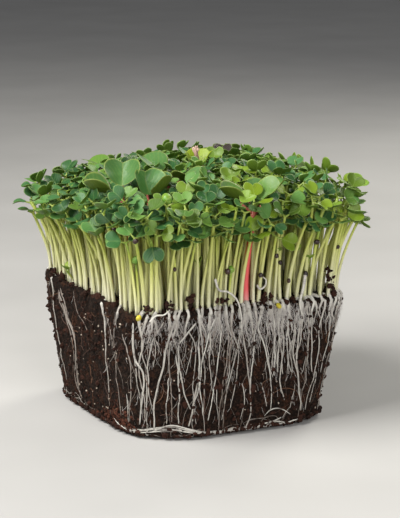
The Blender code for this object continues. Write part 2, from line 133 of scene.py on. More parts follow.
# Fine seed leaves: half of each outline from the blade's foot to its notch, as (across, along)
FINE_HALF = (
    (0.0, 0.0026), (0.0016, 0.0032), (0.0036, 0.0044), (0.0047, 0.0062), (0.0044, 0.0082),
    (0.0030, 0.0096), (0.0014, 0.0095), (0.0, 0.0082)
)
FINE_CENTRE = 0.0058
FINE_SIDE_POINTS = 11
FINE_RINGS = (0.5, 0.9)
RADISH_HALF = (
    (0.0, 0.0060), (0.0028, 0.0064), (0.0060, 0.0086), (0.0077, 0.0124), (0.0071, 0.0160),
    (0.0046, 0.0181), (0.0020, 0.0180), (0.0, 0.0171)
)
RADISH_CENTRE = 0.0120
RADISH_SIDE_POINTS = 18
RADISH_RINGS = (0.3, 0.6, 0.85, 0.95)
RADISH_FOLD = 0.0017
BLADE_THICKNESS = 0.0004
RIM_THINNING = 0.6
STEM_RINGS = 9
STEM_SIDES = 6
STEM_SWAY = 0.0011
STEM_SUNK = 0.05
STEM_TAPER = 0.3
STALK_SAG = 0.12
STALK_SHARE = 0.45

# Each blade's own shape: how far its sides and its rim rise, its end bends down and its rim waves
CUPS = (0.0001, 0.0018)
BOWLS = (-0.0003, 0.0014)
CURLS = (-0.0020, 0.0004)
WAVES = (0.0001, 0.0004)

# Roots on the block's sides, which stand at a mean reach from its middle
ROOT_SEED = 23
BUNDLE_HEIGHT = 0.0027
MEAN_REACH = 0.055
ROOT_TOP = BLOCK_HEIGHT - 0.0012
HIGHEST_ROOT = BLOCK_HEIGHT - 0.0006
ROOT_STEPS = 4

# Level ways, towards the camera and to its right
LEVEL = Vector((math.sin(AZIMUTH), -math.cos(AZIMUTH), 0))
LEVEL_RIGHT = Vector((math.cos(AZIMUTH), math.sin(AZIMUTH), 0))


def camera_axes():
    """Where the camera stands, and the ways ahead of it, to its right and up."""
    back = Vector((math.sin(AZIMUTH) * math.cos(ELEVATION), -math.cos(AZIMUTH) * math.cos(ELEVATION),
                   math.sin(ELEVATION)))
    place = LOOKED_AT + back * DISTANCE
    aim = LOOKED_AT + LEVEL_RIGHT * AIM_RIGHT + back.cross(LEVEL_RIGHT) * AIM_UP
    ahead = (aim - place).normalized()
    right = ahead.cross(Vector((0, 0, 1))).normalized()
    return place, ahead, right, right.cross(ahead)


CAMERA, AHEAD, RIGHT, UP = camera_axes()
FOCAL = LENS / SENSOR * PHOTO_HEIGHT


def in_photo(point):
    """The photo's pixel where a point shows, and how far the point is from the camera."""
    ray = Vector(point) - CAMERA
    depth = ray.dot(AHEAD)
    column = PHOTO_WIDTH / 2 + FOCAL * ray.dot(RIGHT) / depth
    row = PHOTO_HEIGHT / 2 - FOCAL * ray.dot(UP) / depth
    return column, row, depth


def block_size(height, out=0.0):
    """Width, depth and corner radius of the block at a height, grown outwards by out."""
    inset = (BLOCK_HEIGHT - height) * math.tan(SIDE_TAPER)
    if height < FOOT_ROUND:
        inset += FOOT_ROUND - math.sqrt(FOOT_ROUND**2 - (FOOT_ROUND - height) ** 2)
    over = height - RIM_HEIGHT
    if over > 0:
        inset += RIM_ROUND - math.sqrt(max(RIM_ROUND**2 - over**2, 0.0))
    share = height / BLOCK_HEIGHT
    corner = FOOT_CORNER + (TOP_CORNER - FOOT_CORNER) * share
    return BLOCK_WIDTH + 2 * (out - inset), BLOCK_DEPTH + 2 * (out - inset), corner + out


def side_point(heading, height, out=0.0):
    """The point of the block's side in a heading from its middle, at a height, grown outwards by out."""
    width, depth, corner = block_size(height, out)
    dx, dy = math.cos(heading), math.sin(heading)
    reach = min(width / 2 / max(abs(dx), ROUNDING), depth / 2 / max(abs(dy), ROUNDING))
    core_x, core_y = width / 2 - corner, depth / 2 - corner
    if abs(dx) * reach > core_x and abs(dy) * reach > core_y:
        along = abs(dx) * core_x + abs(dy) * core_y
        reach = along + math.sqrt(along**2 - core_x**2 - core_y**2 + corner**2)
    return Vector((dx * reach, dy * reach, height))


def leaf_outline(half):
    """Both sides of a leaf as (across, along) points, from the notch round to the notch."""
    return list(reversed(half)) + [(-across, along) for across, along in half[:-1]]


@functools.cache
def leaf_samples(half):
    """Points spread over the leaf's blade, to test what it would cross."""
    outline = leaf_outline(half)
    columns, rows = (int(max(values) / SAMPLE_STEP) for values in zip(*outline))
    spots = [(column * SAMPLE_STEP, row * SAMPLE_STEP)
             for column in range(-columns, columns + 1) for row in range(rows + 1)]
    return [spot for spot in spots if is_inside(*spot, outline)] + outline


def is_inside(x, y, outline):
    inside = False
    for (x0, y0), (x1, y1) in zip(outline, outline[1:] + outline[:1]):
        if (y0 > y) != (y1 > y) and x < x0 + (x1 - x0) * (y - y0) / (y1 - y0):
            inside = not inside
    return inside


class Leaf:
    """Where one seed leaf is: its root on the stem, the way it points, and its size."""

    def __init__(self, root, heading, rise, half, size, lean_axis=None, lean_angle=0.0):
        level = math.cos(rise)
        along = Vector((math.cos(heading) * level, math.sin(heading) * level, math.sin(rise)))
        across = Vector((-math.sin(heading), math.cos(heading), 0))
        if lean_angle:
            turn = Quaternion(lean_axis, lean_angle)
            along.rotate(turn)
            across.rotate(turn)
        self.root, self.half = np.array(root), half
        self.normal = along.cross(across)
        self.axes = np.array((across, along, self.normal)) * size

    def points(self, outline):
        """Places on the cupped blade for (across, along) pairs on its flat outline."""
        across, along = np.array(outline).T
        cup = LEAF_CUP * np.abs(across) / max(pair[0] for pair in self.half)
        return self.root + np.stack((across, along, cup), axis=1) @ self.axes


class Seedling:
    """A stem from the block's top to its tip, and the two leaves there."""

    def __init__(self, x, y, tip, radius, leaves):
        self.base = Vector((x, y, BLOCK_HEIGHT))
        self.tip, self.radius, self.leaves = tip, radius, leaves

    def stem_point(self, t):
        lean = (self.tip - self.base) * max(t, 0) ** LEAN_CURVE
        rise = (self.tip.z - self.base.z) * t
        return Vector((self.base.x + lean.x, self.base.y + lean.y, self.base.z + rise))

    def samples(self):
        steps = int((self.tip.z - self.base.z) / SAMPLE_STEP)
        stem = np.array([self.stem_point(step / steps) for step in range(2, steps + 1)])
        return np.concatenate([stem] + [leaf.points(leaf_samples(leaf.half)) for leaf in self.leaves])


class Crowd:
    """The small cubes that stems and leaves already take, close round them and with a margin."""

    LOW = np.array((-90, -90, 40))
    SHAPE = (180, 180, 90)

    def __init__(self):
        self.taken = np.zeros(self.SHAPE, bool)
        self.filled = np.zeros(self.SHAPE, bool)

    def cubes(self, seedling):
        return (np.floor(seedling.samples() / CUBE).astype(int) - self.LOW).T

    def has_room(self, seedling):
        return not self.taken[tuple(self.cubes(seedling))].any()

    def crossed(self, seedling):
        """How much of a seedling would lie in what already stands."""
        return int(self.filled[tuple(self.cubes(seedling))].sum())

    def add(self, seedling):
        cubes = self.cubes(seedling)
        self.filled[tuple(cubes)] = True
        for step in itertools.product((-1, 0, 1), repeat=3):
            self.taken[tuple(cubes + np.array(step)[:, None])] = True


def kept_inside(place, inset):
    """A place on the block's top, drawn in to a rounded rectangle that is inset from the rim."""
    reach_x, reach_y = BLOCK_WIDTH / 2 - inset, BLOCK_DEPTH / 2 - inset
    corner = TOP_CORNER - inset
    x, y = min(abs(place.x), reach_x), min(abs(place.y), reach_y)
    over = Vector((max(x - reach_x + corner, 0), max(y - reach_y + corner, 0)))
    if over.length > corner:
        shorter = over.normalized() * corner - over
        x, y = x + shorter.x, y + shorter.y
    return Vector((math.copysign(x, place.x), math.copysign(y, place.y)))


def within_reach(seedling):
    """Whether no leaf reaches further past the block's rim than the canopy does."""
    places = [Vector((x, y)) for leaf in seedling.leaves for x, y, z in leaf.points(leaf_outline(leaf.half))]
    return all((kept_inside(place, -CANOPY_REACH) - place).length <= ROUNDING for place in places)


def jitter(rng, most):
    return Vector((rng.uniform(-1, 1), rng.uniform(-1, 1))) * most


def clump_places(rng):
    """The middle of each knot: a loose grid, pushed apart so that each hole keeps mix round it."""
    reach_x, reach_y = BLOCK_WIDTH / 2 - CLUMP_INSET, BLOCK_DEPTH / 2 - CLUMP_INSET
    places = []
    for row, column in itertools.product(range(CLUMP_ROWS), range(CLUMP_COLUMNS)):
        x = reach_x * (2 * column / (CLUMP_COLUMNS - 1) - 1)
        y = reach_y * (2 * row / (CLUMP_ROWS - 1) - 1)
        places.append(kept_inside(Vector((x, y)) + jitter(rng, CLUMP_JITTER), CLUMP_INSET))
    fixed = [Vector((x, y)) for name, x, y, *rest in RADISHES]
    for _ in range(SPREAD_ROUNDS):
        for index, place in enumerate(places):
            near = [(other, KNOT_SPACING) for other in places if other is not place]
            near += [(other, RADISH_SPACING) for other in fixed]
            for other, least in near:
                apart = place - other
                if apart.length < least:
                    place = place + apart.normalized() * (least - apart.length)
            places[index] = kept_inside(place, CLUMP_INSET)
    return [(place.x, place.y) for place in places]


def lean_at(x, y):
    """How far the tip of a seedling leans out, which grows steeply towards the rim."""
    return Vector((LEAN * (2 * x / BLOCK_WIDTH) ** 3, LEAN * (2 * y / BLOCK_DEPTH) ** 3, 0))


def lowered(x, y):
    """How much lower the stand is towards its back left corner."""
    along = x * math.cos(LOW_HEADING) + y * math.sin(LOW_HEADING)
    return LOW_SLOPE * max(along - LOW_FROM, 0.0)


def draw_seedling(x, y, rng, radius, growth):
    """One seedling that stands at x, y, with its height, its lean and its leaves drawn at random."""
    heights, sizes, steepest, droops, calm = growth
    lean = lean_at(x, y) * (1 - calm * lowered(x, y))
    rim = min(lean.length / LEAN, 1.0)
    height = rng.uniform(*heights) - RIM_DROP * rim * rng.uniform(*DROP_SHARES) - lowered(x, y)
    wander = Vector((rng.uniform(-WANDER, WANDER), rng.uniform(-WANDER, WANDER), height))
    tip = Vector((x, y, BLOCK_HEIGHT)) + lean * rng.uniform(*LEAN_SHARES) + wander
    heading = rng.uniform(0, 2 * math.pi)
    lean_axis = Vector((-lean.y, lean.x, 0))
    leaves = []
    for turn in (0, math.pi + rng.uniform(-LEAF_BEND, LEAF_BEND)):
        rise, size = rng.uniform(0, steepest), rng.uniform(*sizes)
        leaves.append(Leaf(tip, heading + turn, rise, LEAF_HALF, size, lean_axis, rim * rng.uniform(*droops)))
    return Seedling(x, y, tip, radius, leaves)


def place_radishes(crowd, rng):
    """The larger seedlings, each leaf turned a little further at each try until it crosses no other."""
    radishes = {}
    for name, x, y, height, size, ways in RADISHES:
        tip = Vector((x, y, BLOCK_HEIGHT + height)) + lean_at(x, y) * RADISH_LEAN
        for attempt in range(PLACE_TRIES):
            turn = RADISH_TURN * attempt / PLACE_TRIES
            turned = [[math.radians(angle) + rng.uniform(-turn, turn) for angle in way] for way in ways]
            leaves = [Leaf(tip, heading, rise, RADISH_LEAF_HALF, size) for heading, rise in turned]
            radish = Seedling(x, y, tip, RADISH_STEM_RADIUS, leaves)
            if crowd.has_room(radish):
                break
        crowd.add(radish)
        radishes[name] = radish
    return radishes


def place_clumps(crowd, rng):
    """The seedlings of every clump, each drawn again until it crosses none that already stands."""
    clumps = []
    for x, y in clump_places(rng):
        turn = rng.uniform(0, 2 * math.pi)
        rim = max(abs(x) / (BLOCK_WIDTH / 2), abs(y) / (BLOCK_DEPTH / 2))
        count = STEMS_AT_RIM if rim > RIM_CLUMPS else STEMS_INSIDE
        stems = []
        for number in range(count):
            angle = turn + 2 * math.pi * number / count
            foot = x + STEM_RING * math.cos(angle), y + STEM_RING * math.sin(angle)
            for _ in range(PLACE_TRIES):
                seedling = draw_seedling(*foot, rng, STEM_RADIUS, CLUMP_GROWTH)
                if within_reach(seedling) and crowd.has_room(seedling):
                    crowd.add(seedling)
                    stems.append(seedling)
                    break
        clumps.append((x, y, stems))
    return clumps


def stand_places(rng, standing):
    """Where the rest of the stand grows: a row along the rim and a grid inside it, clear of what stands."""
    places = []
    rim_length = 2 * (BLOCK_WIDTH + BLOCK_DEPTH) - (8 - 2 * math.pi) * TOP_CORNER
    count = int(rim_length / RIM_ROW_SPACING)
    for number in range(count):
        heading = 2 * math.pi * (number + rng.uniform(-0.35, 0.35)) / count
        inset = RIM_ROW_INSET + rng.uniform(0, GRID_JITTER)
        places.append(side_point(heading, RIM_HEIGHT, -inset).xy)
    rows = int(BLOCK_DEPTH / (GRID_SPACING * ROW_SHARE))
    columns = int(BLOCK_WIDTH / GRID_SPACING)
    for row, column in itertools.product(range(rows + 1), range(columns + 1)):
        x = (column + 0.5 * (row % 2) - columns / 2) * GRID_SPACING
        y = (row - rows / 2) * GRID_SPACING * ROW_SHARE
        place = Vector((x, y)) + jitter(rng, GRID_JITTER)
        if (kept_inside(place, GRID_INSET) - place).length < ROUNDING:
            places.append(place)
    taken = [stem.base.xy for stem in standing]
    kept = []
    for place in places:
        if all((place - other).length > STAND_GAP for other in taken):
            kept.append(place)
            taken.append(place)
    return kept


def place_stand(crowd, rng, standing):
    """The rest of the stand, each seedling drawn a few times and kept where it crosses least."""
    added = []
    for place in stand_places(rng, standing):
        drawn = [draw_seedling(*place, rng, rng.uniform(*STAND_RADIUS), STAND_GROWTH)
                 for _ in range(STAND_TRIES)]
        drawn = [seedling for seedling in drawn if within_reach(seedling)]
        if drawn:
            best = min(drawn, key=crowd.crossed)
            crowd.add(best)
            added.append(best)
    return added


class Shape:
    """Points and faces gathered for one mesh, with what each point tells its material."""

    def __init__(self):
        self.points, self.places, self.tints = [], [], []
        self.faces, self.kinds = [], []
        self.count = 0

    def add(self, points, faces, kind, places, tints):
        points = np.asarray(points, float)
        number = len(points)
        self.points.append(points)
        self.places.append(np.broadcast_to(places, (number, 3)))
        self.tints.append(np.broadcast_to(tints, (number, 3)))
        self.faces += [tuple(corner + self.count for corner in face) for face in faces]
        self.kinds += [kind] * len(faces)
        self.count += number

    def build(self, name, materials, smooth=True):
        mesh = bpy.data.meshes.new(name)
        mesh.from_pydata(np.concatenate(self.points).tolist(), [], self.faces)
        for material in materials:
            mesh.materials.append(material)
        mesh.polygons.foreach_set("material_index", self.kinds)
        mesh.polygons.foreach_set("use_smooth", [smooth] * len(self.faces))
        for attribute, values in (("place", self.places), ("tint", self.tints)):
            layer = mesh.attributes.new(attribute, "FLOAT_VECTOR", "POINT")
            layer.data.foreach_set("vector", np.concatenate(values).astype(np.float32).ravel())
        mesh.update()
        obj = bpy.data.objects.new(name, mesh)
        bpy.context.scene.collection.objects.link(obj)
        return obj


def smooth_path(points, steps):
    """A curve through all the points, with a number of steps between each two of them."""
    points = [np.asarray(point, float) for point in points]
    ends = [2 * points[0] - points[1]] + points + [2 * points[-1] - points[-2]]
    path = []
    for a, b, c, d in zip(ends, ends[1:], ends[2:], ends[3:]):
        for step in range(steps):
            t = step / steps
            path.append(0.5 * (2 * b + (c - a) * t + (2 * a - 5 * b + 4 * c - d) * t**2
                               + (3 * b - a - 3 * c + d) * t**3))
    return np.array(path + [points[-1]])


def lengths_along(path):
    """How far along the path each of its points is."""
    return np.concatenate(([0], np.cumsum(np.linalg.norm(np.diff(path, axis=0), axis=1))))


def even_path(path, count):
    """The same line with its points a like distance apart."""
    lengths = lengths_along(path)
    wanted = np.linspace(0, lengths[-1], count)
    return np.stack([np.interp(wanted, lengths, values) for values in path.T], axis=1)


def ring_faces(first, number, rings):
    """Faces between rings of a number of points each, from the first point's index on."""
    faces = []
    for ring, side in itertools.product(range(rings - 1), range(number)):
        start = first + ring * number
        a, b = start + side, start + (side + 1) % number
        faces.append((a, b, b + number, a + number))
    return faces


@functools.cache
def tube_faces(rings, sides):
    last = (rings - 1) * sides
    return ring_faces(0, sides, rings) + [tuple(reversed(range(sides))), tuple(range(last, last + sides))]


def unit_rows(vectors):
    """Each row at a length of one, or left at nought."""
    return vectors / (np.linalg.norm(vectors, axis=1)[:, None] + 1e-12)


def tube(shape, path, radii, sides, kind, places, tints, outward=(0.2, 0.98, 0.0), flat=1.0):
    """A closed tube along a path; outward is the way that its flat share is measured in."""
    path = np.asarray(path, float)
    rings = len(path)
    ahead = np.gradient(path, axis=0)
    sideways = unit_rows(np.cross(ahead, np.broadcast_to(outward, path.shape)))
    upward = unit_rows(np.cross(sideways, ahead))
    angles = (2 * np.pi * np.arange(sides) / sides)[None, :, None]
    ring = np.cos(angles) * sideways[:, None] + flat * np.sin(angles) * upward[:, None]
    radii = np.broadcast_to(radii, (rings,))
    points = path[:, None] + ring * radii[:, None, None]
    if np.ndim(places) == 2:
        places = np.repeat(places, sides, axis=0)
    if np.ndim(tints) == 2:
        tints = np.repeat(tints, sides, axis=0)
    shape.add(points.reshape(-1, 3), tube_faces(rings, sides), kind, places, tints)


class Blade:
    """A thin closed blade: rings of points from its middle out to its rim, above and below."""

    def __init__(self, half, centre, side_points, rings, fold=0.0):
        self.fold = fold
        side = even_path(smooth_path(half, 8), side_points + 1)
        outline = np.concatenate((side, side[-2:0:-1] * (-1, 1)))
        middle = np.array((0, centre))
        number = len(outline)
        shares = [*rings, 1.0, *reversed(rings)]
        flat = [middle[None]] + [middle + (outline - middle) * share for share in shares] + [middle[None]]
        self.across, self.along = np.concatenate(flat).T
        self.rim = np.concatenate(([0.0], np.repeat(shares, number), [0.0]))
        face = np.ones(1 + number * len(rings))
        self.above = np.concatenate((face, np.zeros(number), -face))
        self.angle = np.arctan2(self.across, self.along - centre)
        self.widest, self.longest = outline[:, 0].max(), outline[:, 1].max()
        self.foot = half[0][1]
        self.scale = self.widest / FINE_HALF[3][0]
        last = 1 + number * len(shares)
        self.faces = ring_faces(1, number, len(shares))
        for side in range(number):
            after = (side + 1) % number
            self.faces += [(0, 1 + after, 1 + side), (last, last - number + side, last - number + after)]

    def place(self):
        """Each point's share across and along the blade, and towards its rim."""
        return np.stack((self.across / self.widest, self.along / self.longest, self.rim), axis=1)

    def lift(self, rng):
        """One blade's own cupped, bent and waved surface, above its flat outline."""
        share = np.abs(self.across) / self.widest
        reach = np.clip((self.along - self.foot) / (self.longest - self.foot), 0, 1)
        cup, bowl, curl, wave = (rng.uniform(*limits) for limits in (CUPS, BOWLS, CURLS, WAVES))
        wavy = np.sin(rng.randint(2, 4) * self.angle + rng.uniform(0, 2 * math.pi)) * self.rim**2
        thickness = BLADE_THICKNESS / 2 * (1 - RIM_THINNING * self.rim**2)
        bent = cup * share**2 + bowl * self.rim**2 + curl * reach**2 + wave * wavy + self.fold * share
        return self.scale * bent + self.above * thickness


def small_blade():
    return Blade(FINE_HALF, FINE_CENTRE, FINE_SIDE_POINTS, FINE_RINGS)


def fine_leaf(shape, leaf, blade, kinds, rng, lime, stem_tint):
    """A leaf's blade, and the stalk that holds it."""
    flat = np.stack((blade.across, blade.along, blade.lift(rng)), axis=1)
    tint = np.stack((np.full(len(flat), rng.random()), blade.above, np.full(len(flat), lime)), axis=1)
    shape.add(leaf.root + flat @ leaf.axes, blade.faces, kinds[1], blade.place(), tint)
    reach = blade.foot + 0.12 * (blade.longest - blade.foot)
    sag = STALK_SAG * reach
    stalk = smooth_path(((0, -0.0004, -sag), (0, 0.45 * reach, -sag * 0.9), (0, reach, -0.00015)), 2)
    radii = np.linspace(1.15, 0.7, len(stalk)) * (STALK_SHARE * blade.scale * STEM_RADIUS)
    places = np.linspace(1.0, 1.15, len(stalk))[:, None] * (0, 1, 0)
    path = leaf.root + stalk @ leaf.axes
    tube(shape, path, radii, 5, kinds[0], places, stem_tint, outward=tuple(leaf.normal))


def fine_stem(shape, seedling, kind, rng, tint):
    """A stem with a slight sway, from under the mix to its tip."""
    heading, sway = rng.uniform(0, 2 * math.pi), rng.uniform(-1, 1) * STEM_SWAY
    aside = np.array((math.cos(heading), math.sin(heading), 0)) * sway
    turn = rng.uniform(0.8, 1.5)
    path, radii, places = [], [], []
    for ring in range(STEM_RINGS + 1):
        t = ring / STEM_RINGS * (1 + STEM_SUNK) - STEM_SUNK
        up = max(t, 0)
        path.append(np.array(seedling.stem_point(t)) + aside * (math.sin(math.pi * up * turn) * (1 - up)))
        radii.append(seedling.radius * (0.98 - STEM_TAPER * up + 1.5 * max(t - 0.9, 0)))
        places.append((0, t, 0))
    tube(shape, path, radii, STEM_SIDES, kind, np.array(places), tint)


def fine_seedling(shape, seedling, blade, kinds, rng, lime):
    tint = (rng.random(), rng.random(), lime)
    fine_stem(shape, seedling, kinds[0], rng, tint)
    for leaf in seedling.leaves:
        fine_leaf(shape, leaf, blade, kinds, rng, lime, tint)


def lump(shape, centre, axes, rings, segments, rough, rng, kind, tint):
    """A closed lump with its own three half axes, roughened at random."""
    points = [(0, 0, 1.0)]
    for ring, segment in itertools.product(range(1, rings), range(segments)):
        polar = math.pi * ring / rings
        around = 2 * math.pi * (segment + 0.5 * (ring % 2)) / segments
        grow = 1 + rough * rng.uniform(-1, 1)
        points.append(grow * np.array((math.sin(polar) * math.cos(around), math.sin(polar) * math.sin(around),
                                       math.cos(polar))))
    points.append((0, 0, -1.0))
    points = np.array(centre) + np.array(points) @ np.array(axes)
    shape.add(points, lump_faces(rings, segments), kind, (0, 0, 0), tint)


@functools.cache
def lump_faces(rings, segments):
    last = 1 + (rings - 1) * segments
    faces = [(a, d, c, b) for a, b, c, d in ring_faces(1, segments, rings - 1)]
    for segment in range(segments):
        after = (segment + 1) % segments
        faces += [(0, 1 + segment, 1 + after), (last - segments + segment, last, last - segments + after)]
    return faces


def any_turn(rng):
    """A turn to lie any way round."""
    axis = Vector((rng.gauss(0, 1), rng.gauss(0, 1), rng.gauss(0, 1))).normalized()
    return Quaternion(axis, rng.uniform(0, math.pi))


def random_axes(size, rng, stretch=0.35):
    """Three half axes of a lump that lies any way round."""
    return [np.array(axis) * size * (1 + stretch * rng.uniform(-1, 1)) for axis in any_turn(rng).to_matrix()]


# The mix's own surface
SOIL_COLUMNS = 460
SOIL_ROWS = 84
SOIL_TOP_RINGS = (0.985, 0.965, 0.94, 0.91, 0.87, 0.82, 0.76, 0.7, 0.62, 0.54, 0.45, 0.36, 0.27, 0.18, 0.09)

# Lumps on the sides and on the top, as (how wide, how high), and the crumbly pits between them
SIDE_LUMPS = ((0.012, 0.0009), (0.0042, 0.0005), (0.0016, 0.0005))
TOP_LUMPS = ((0.009, 0.0016), (0.0035, 0.0010), (0.0014, 0.0004))
PIT_WIDTH = 0.0030
PIT_DEPTH = 0.0006
SIDE_SHRINK = 0.0003

# The crease that runs across the front side
CREASE_HEIGHT = 0.0225
CREASE_FROM = math.radians(-116)
CREASE_TO = math.radians(-64)
CREASE_DEPTH = 0.0012
CREASE_WIDTH = 0.0013

# Below one height the lumps fade out towards the flat underside, and above another they follow the top's
FLAT_BAND = 0.002
TOP_BAND = 0.050


def lumps(point, kinds):
    """How far lumps of several kinds rise at a point, all together."""
    return sum(noise.noise(point / width) * high for width, high in kinds)


def soil_out(point, heading):
    """How far the mix stands out of the block's plain side at a point, in lumps, grains and a crease."""
    pits = (0.45 - noise.voronoi(point / PIT_WIDTH)[0][0]) * PIT_DEPTH
    out = lumps(point, SIDE_LUMPS) + pits - SIDE_SHRINK
    middle = (CREASE_FROM + CREASE_TO) / 2
    beside = abs(heading - middle) / ((CREASE_TO - CREASE_FROM) / 2)
    if beside < 1:
        wander = CREASE_HEIGHT + 0.0012 * noise.noise(Vector((heading * 6, 2.5, 0)))
        patchy = 0.5 + noise.noise(Vector((heading * 9, 7.5, 0)))
        across = math.exp(-(((point.z - wander) / CREASE_WIDTH) ** 2))
        out -= CREASE_DEPTH * patchy * across * (1 - beside**4)
    return out


def on_side(heading, height, over=0.0):
    """A point on the mix's own surface on a side, lifted over it."""
    heading = (heading + math.pi) % (2 * math.pi) - math.pi
    plain = side_point(heading, height)
    return side_point(heading, height, soil_out(plain, heading) + over)


def soil_top(x, y):
    """The height of the mix's top, which is loose and lumpy."""
    return BLOCK_HEIGHT + lumps(Vector((x, y, 0)), TOP_LUMPS)


def make_soil(materials):
    """The moulded block, its sides and top lumpy, from its flat underside up to the middle of its top."""
    headings = [2 * math.pi * column / SOIL_COLUMNS - math.pi for column in range(SOIL_COLUMNS)]
    points = []
    for row, heading in itertools.product(range(SOIL_ROWS), headings):
        height = BLOCK_HEIGHT * (row / SOIL_ROWS)
        plain = side_point(heading, height)
        point = side_point(heading, height, soil_out(plain, heading) * min(height / FLAT_BAND, 1.0))
        rim = max(height - TOP_BAND, 0) / (BLOCK_HEIGHT - TOP_BAND)
        point.z += rim * (soil_top(point.x, point.y) - BLOCK_HEIGHT)
        points.append(point)
    rim_points = [side_point(heading, BLOCK_HEIGHT - RIM_ROUND * 0.4) for heading in headings]
    for share, rim_point in itertools.product(SOIL_TOP_RINGS, rim_points):
        x, y = rim_point.x * share, rim_point.y * share
        points.append(Vector((x, y, soil_top(x, y))))
    top, foot = len(points), len(points) + 1
    points += [Vector((0, 0, soil_top(0, 0))), Vector((0, 0, 0))]
    faces = ring_faces(0, SOIL_COLUMNS, SOIL_ROWS + len(SOIL_TOP_RINGS))
    last = top - SOIL_COLUMNS
    for column in range(SOIL_COLUMNS):
        after = (column + 1) % SOIL_COLUMNS
        faces += [(last + column, last + after, top), (after, column, foot)]
    shape = Shape()
    shape.add(np.array(points), faces, 0, (0, 0, 0), (0, 0, 0))
    return shape.build("potting_mix", [materials["soil"]])


# Crumbs, specks and fibres: how many of each, how dark and rusty, and where the rusty ones show in the photo
CRUMB_SEED = 31
SIDE_CRUMBS = 1500
TOP_CRUMBS = 700
CLOD_CRUMBS = 14
FOOT_CRUMBS = 420
RUSTY_CRUMBS = 240
RUST_COLUMN = (114, 10)
RUST_ROW = (420, 9)
CRUMB_TINTS = (0.0, 0.5)
RUSTY_TINTS = (0.5, 1.5)
SIDE_HEIGHTS = (0.003, 0.056)
PALE_SPECKS = 170
FIBRES = 230
FIBRE_STEPS = 8


def make_crumbs(materials):
    """Loose crumbs of mix, pale specks and brown fibres on the block's sides and round its rim."""
    rng = random.Random(CRUMB_SEED)
    shape = Shape()
    for _ in range(SIDE_CRUMBS):
        heading, height = rng.uniform(-math.pi, math.pi), rng.uniform(*SIDE_HEIGHTS)
        size = 0.0003 + 0.0009 * rng.random() ** 3
        crumb(shape, on_side(heading, height, 0.1 * size), size, rng)
    for _ in range(TOP_CRUMBS):
        heading, inset = rng.uniform(-math.pi, math.pi), rng.uniform(0.0012, 0.016)
        point = side_point(heading, RIM_HEIGHT, -inset)
        size = 0.0004 + 0.0013 * rng.random() ** 2
        crumb(shape, (point.x, point.y, soil_top(point.x, point.y) + 0.2 * size), size, rng)
    for column, row, size in CLODS:
        middle = ray_hit(column, row, -size * 0.6)
        for _ in range(CLOD_CRUMBS):
            place = middle + Vector((rng.gauss(0, 1), rng.gauss(0, 1), rng.gauss(-0.4, 0.8))) * size * 0.45
            crumb(shape, place, size * rng.uniform(0.2, 0.5), rng)
    for _ in range(FOOT_CRUMBS):
        heading, size = rng.uniform(-math.pi, math.pi), rng.uniform(0.0004, 0.0011)
        crumb(shape, side_point(heading, size * rng.uniform(2.0, 3.4), 0.3 * size), size, rng)
    for _ in range(RUSTY_CRUMBS):
        heading, height = ray_heading(rng.gauss(*RUST_COLUMN), rng.gauss(*RUST_ROW))
        size = rng.uniform(0.00025, 0.0008)
        crumb(shape, on_side(heading, max(height, size * 2), 0.1 * size), size, rng, RUSTY_TINTS)
    for _ in range(PALE_SPECKS):
        heading, height = rng.uniform(-math.pi, math.pi), rng.uniform(*SIDE_HEIGHTS)
        size = rng.uniform(0.00022, 0.00045)
        place = on_side(heading, height, 0.4 * size)
        lump(shape, place, random_axes(size, rng), 3, 5, 0.2, rng, 0, (rng.uniform(0.8, 1.0), 1, 0))
    for _ in range(FIBRES):
        add_fibre(shape, rng)
    return shape.build("crumbs_and_fibres", [materials["crumb"], materials["fibre"]], smooth=False)


def crumb(shape, place, size, rng, tints=CRUMB_TINTS):
    """A rough crumb of mix that lies any way round."""
    tint = rng.uniform(*tints)
    lump(shape, place, random_axes(size, rng, 0.5), 4, 6, 0.32, rng, 0, (tint, 0, 0))


def add_fibre(shape, rng):
    heading, height = rng.uniform(-math.pi, math.pi), rng.uniform(0.006, 0.053)
    length, way = rng.uniform(0.004, 0.012), rng.uniform(0, 2 * math.pi)
    bend, radius = rng.uniform(-1.6, 1.6), rng.uniform(0.00009, 0.0002)
    path, outward = [], []
    for _ in range(FIBRE_STEPS + 1):
        path.append(on_side(heading, min(max(height, 0.003), 0.0555), radius + 0.0001))
        outward.append((math.cos(heading), math.sin(heading), 0))
        heading += math.cos(way) * length / FIBRE_STEPS / MEAN_REACH
        height += math.sin(way) * length / FIBRE_STEPS
        way += bend / FIBRE_STEPS
    tube(shape, path, radius, 3, 1, (0, 0, 0), (rng.random(), 0, 0), outward=outward)


# Which stems send a root over the rim, how roots thin and dim on their way, and where they are sparse
RIM_ROOT_REACH = 0.0085
FOOT_FADE = 0.0105
WHITE_FADE = 0.013
FRONT_FROM = math.radians(-128)
FRONT_TO = math.radians(-35)
SMOOTHING = 5
SPARE_ROOTS = 0.3
# Roots that start left of this pixel column are painted darker by the next share: painted shade on the
# block's left side
LEFT_EDGE = 126
LEFT_PAINTED_SHADE = 0.6
BARE_WIDTH = math.radians(45)
ROOT_SPACING = 0.0011
ROOT_RADIUS = (0.00018, 0.00050)
ROOTLETS = 330
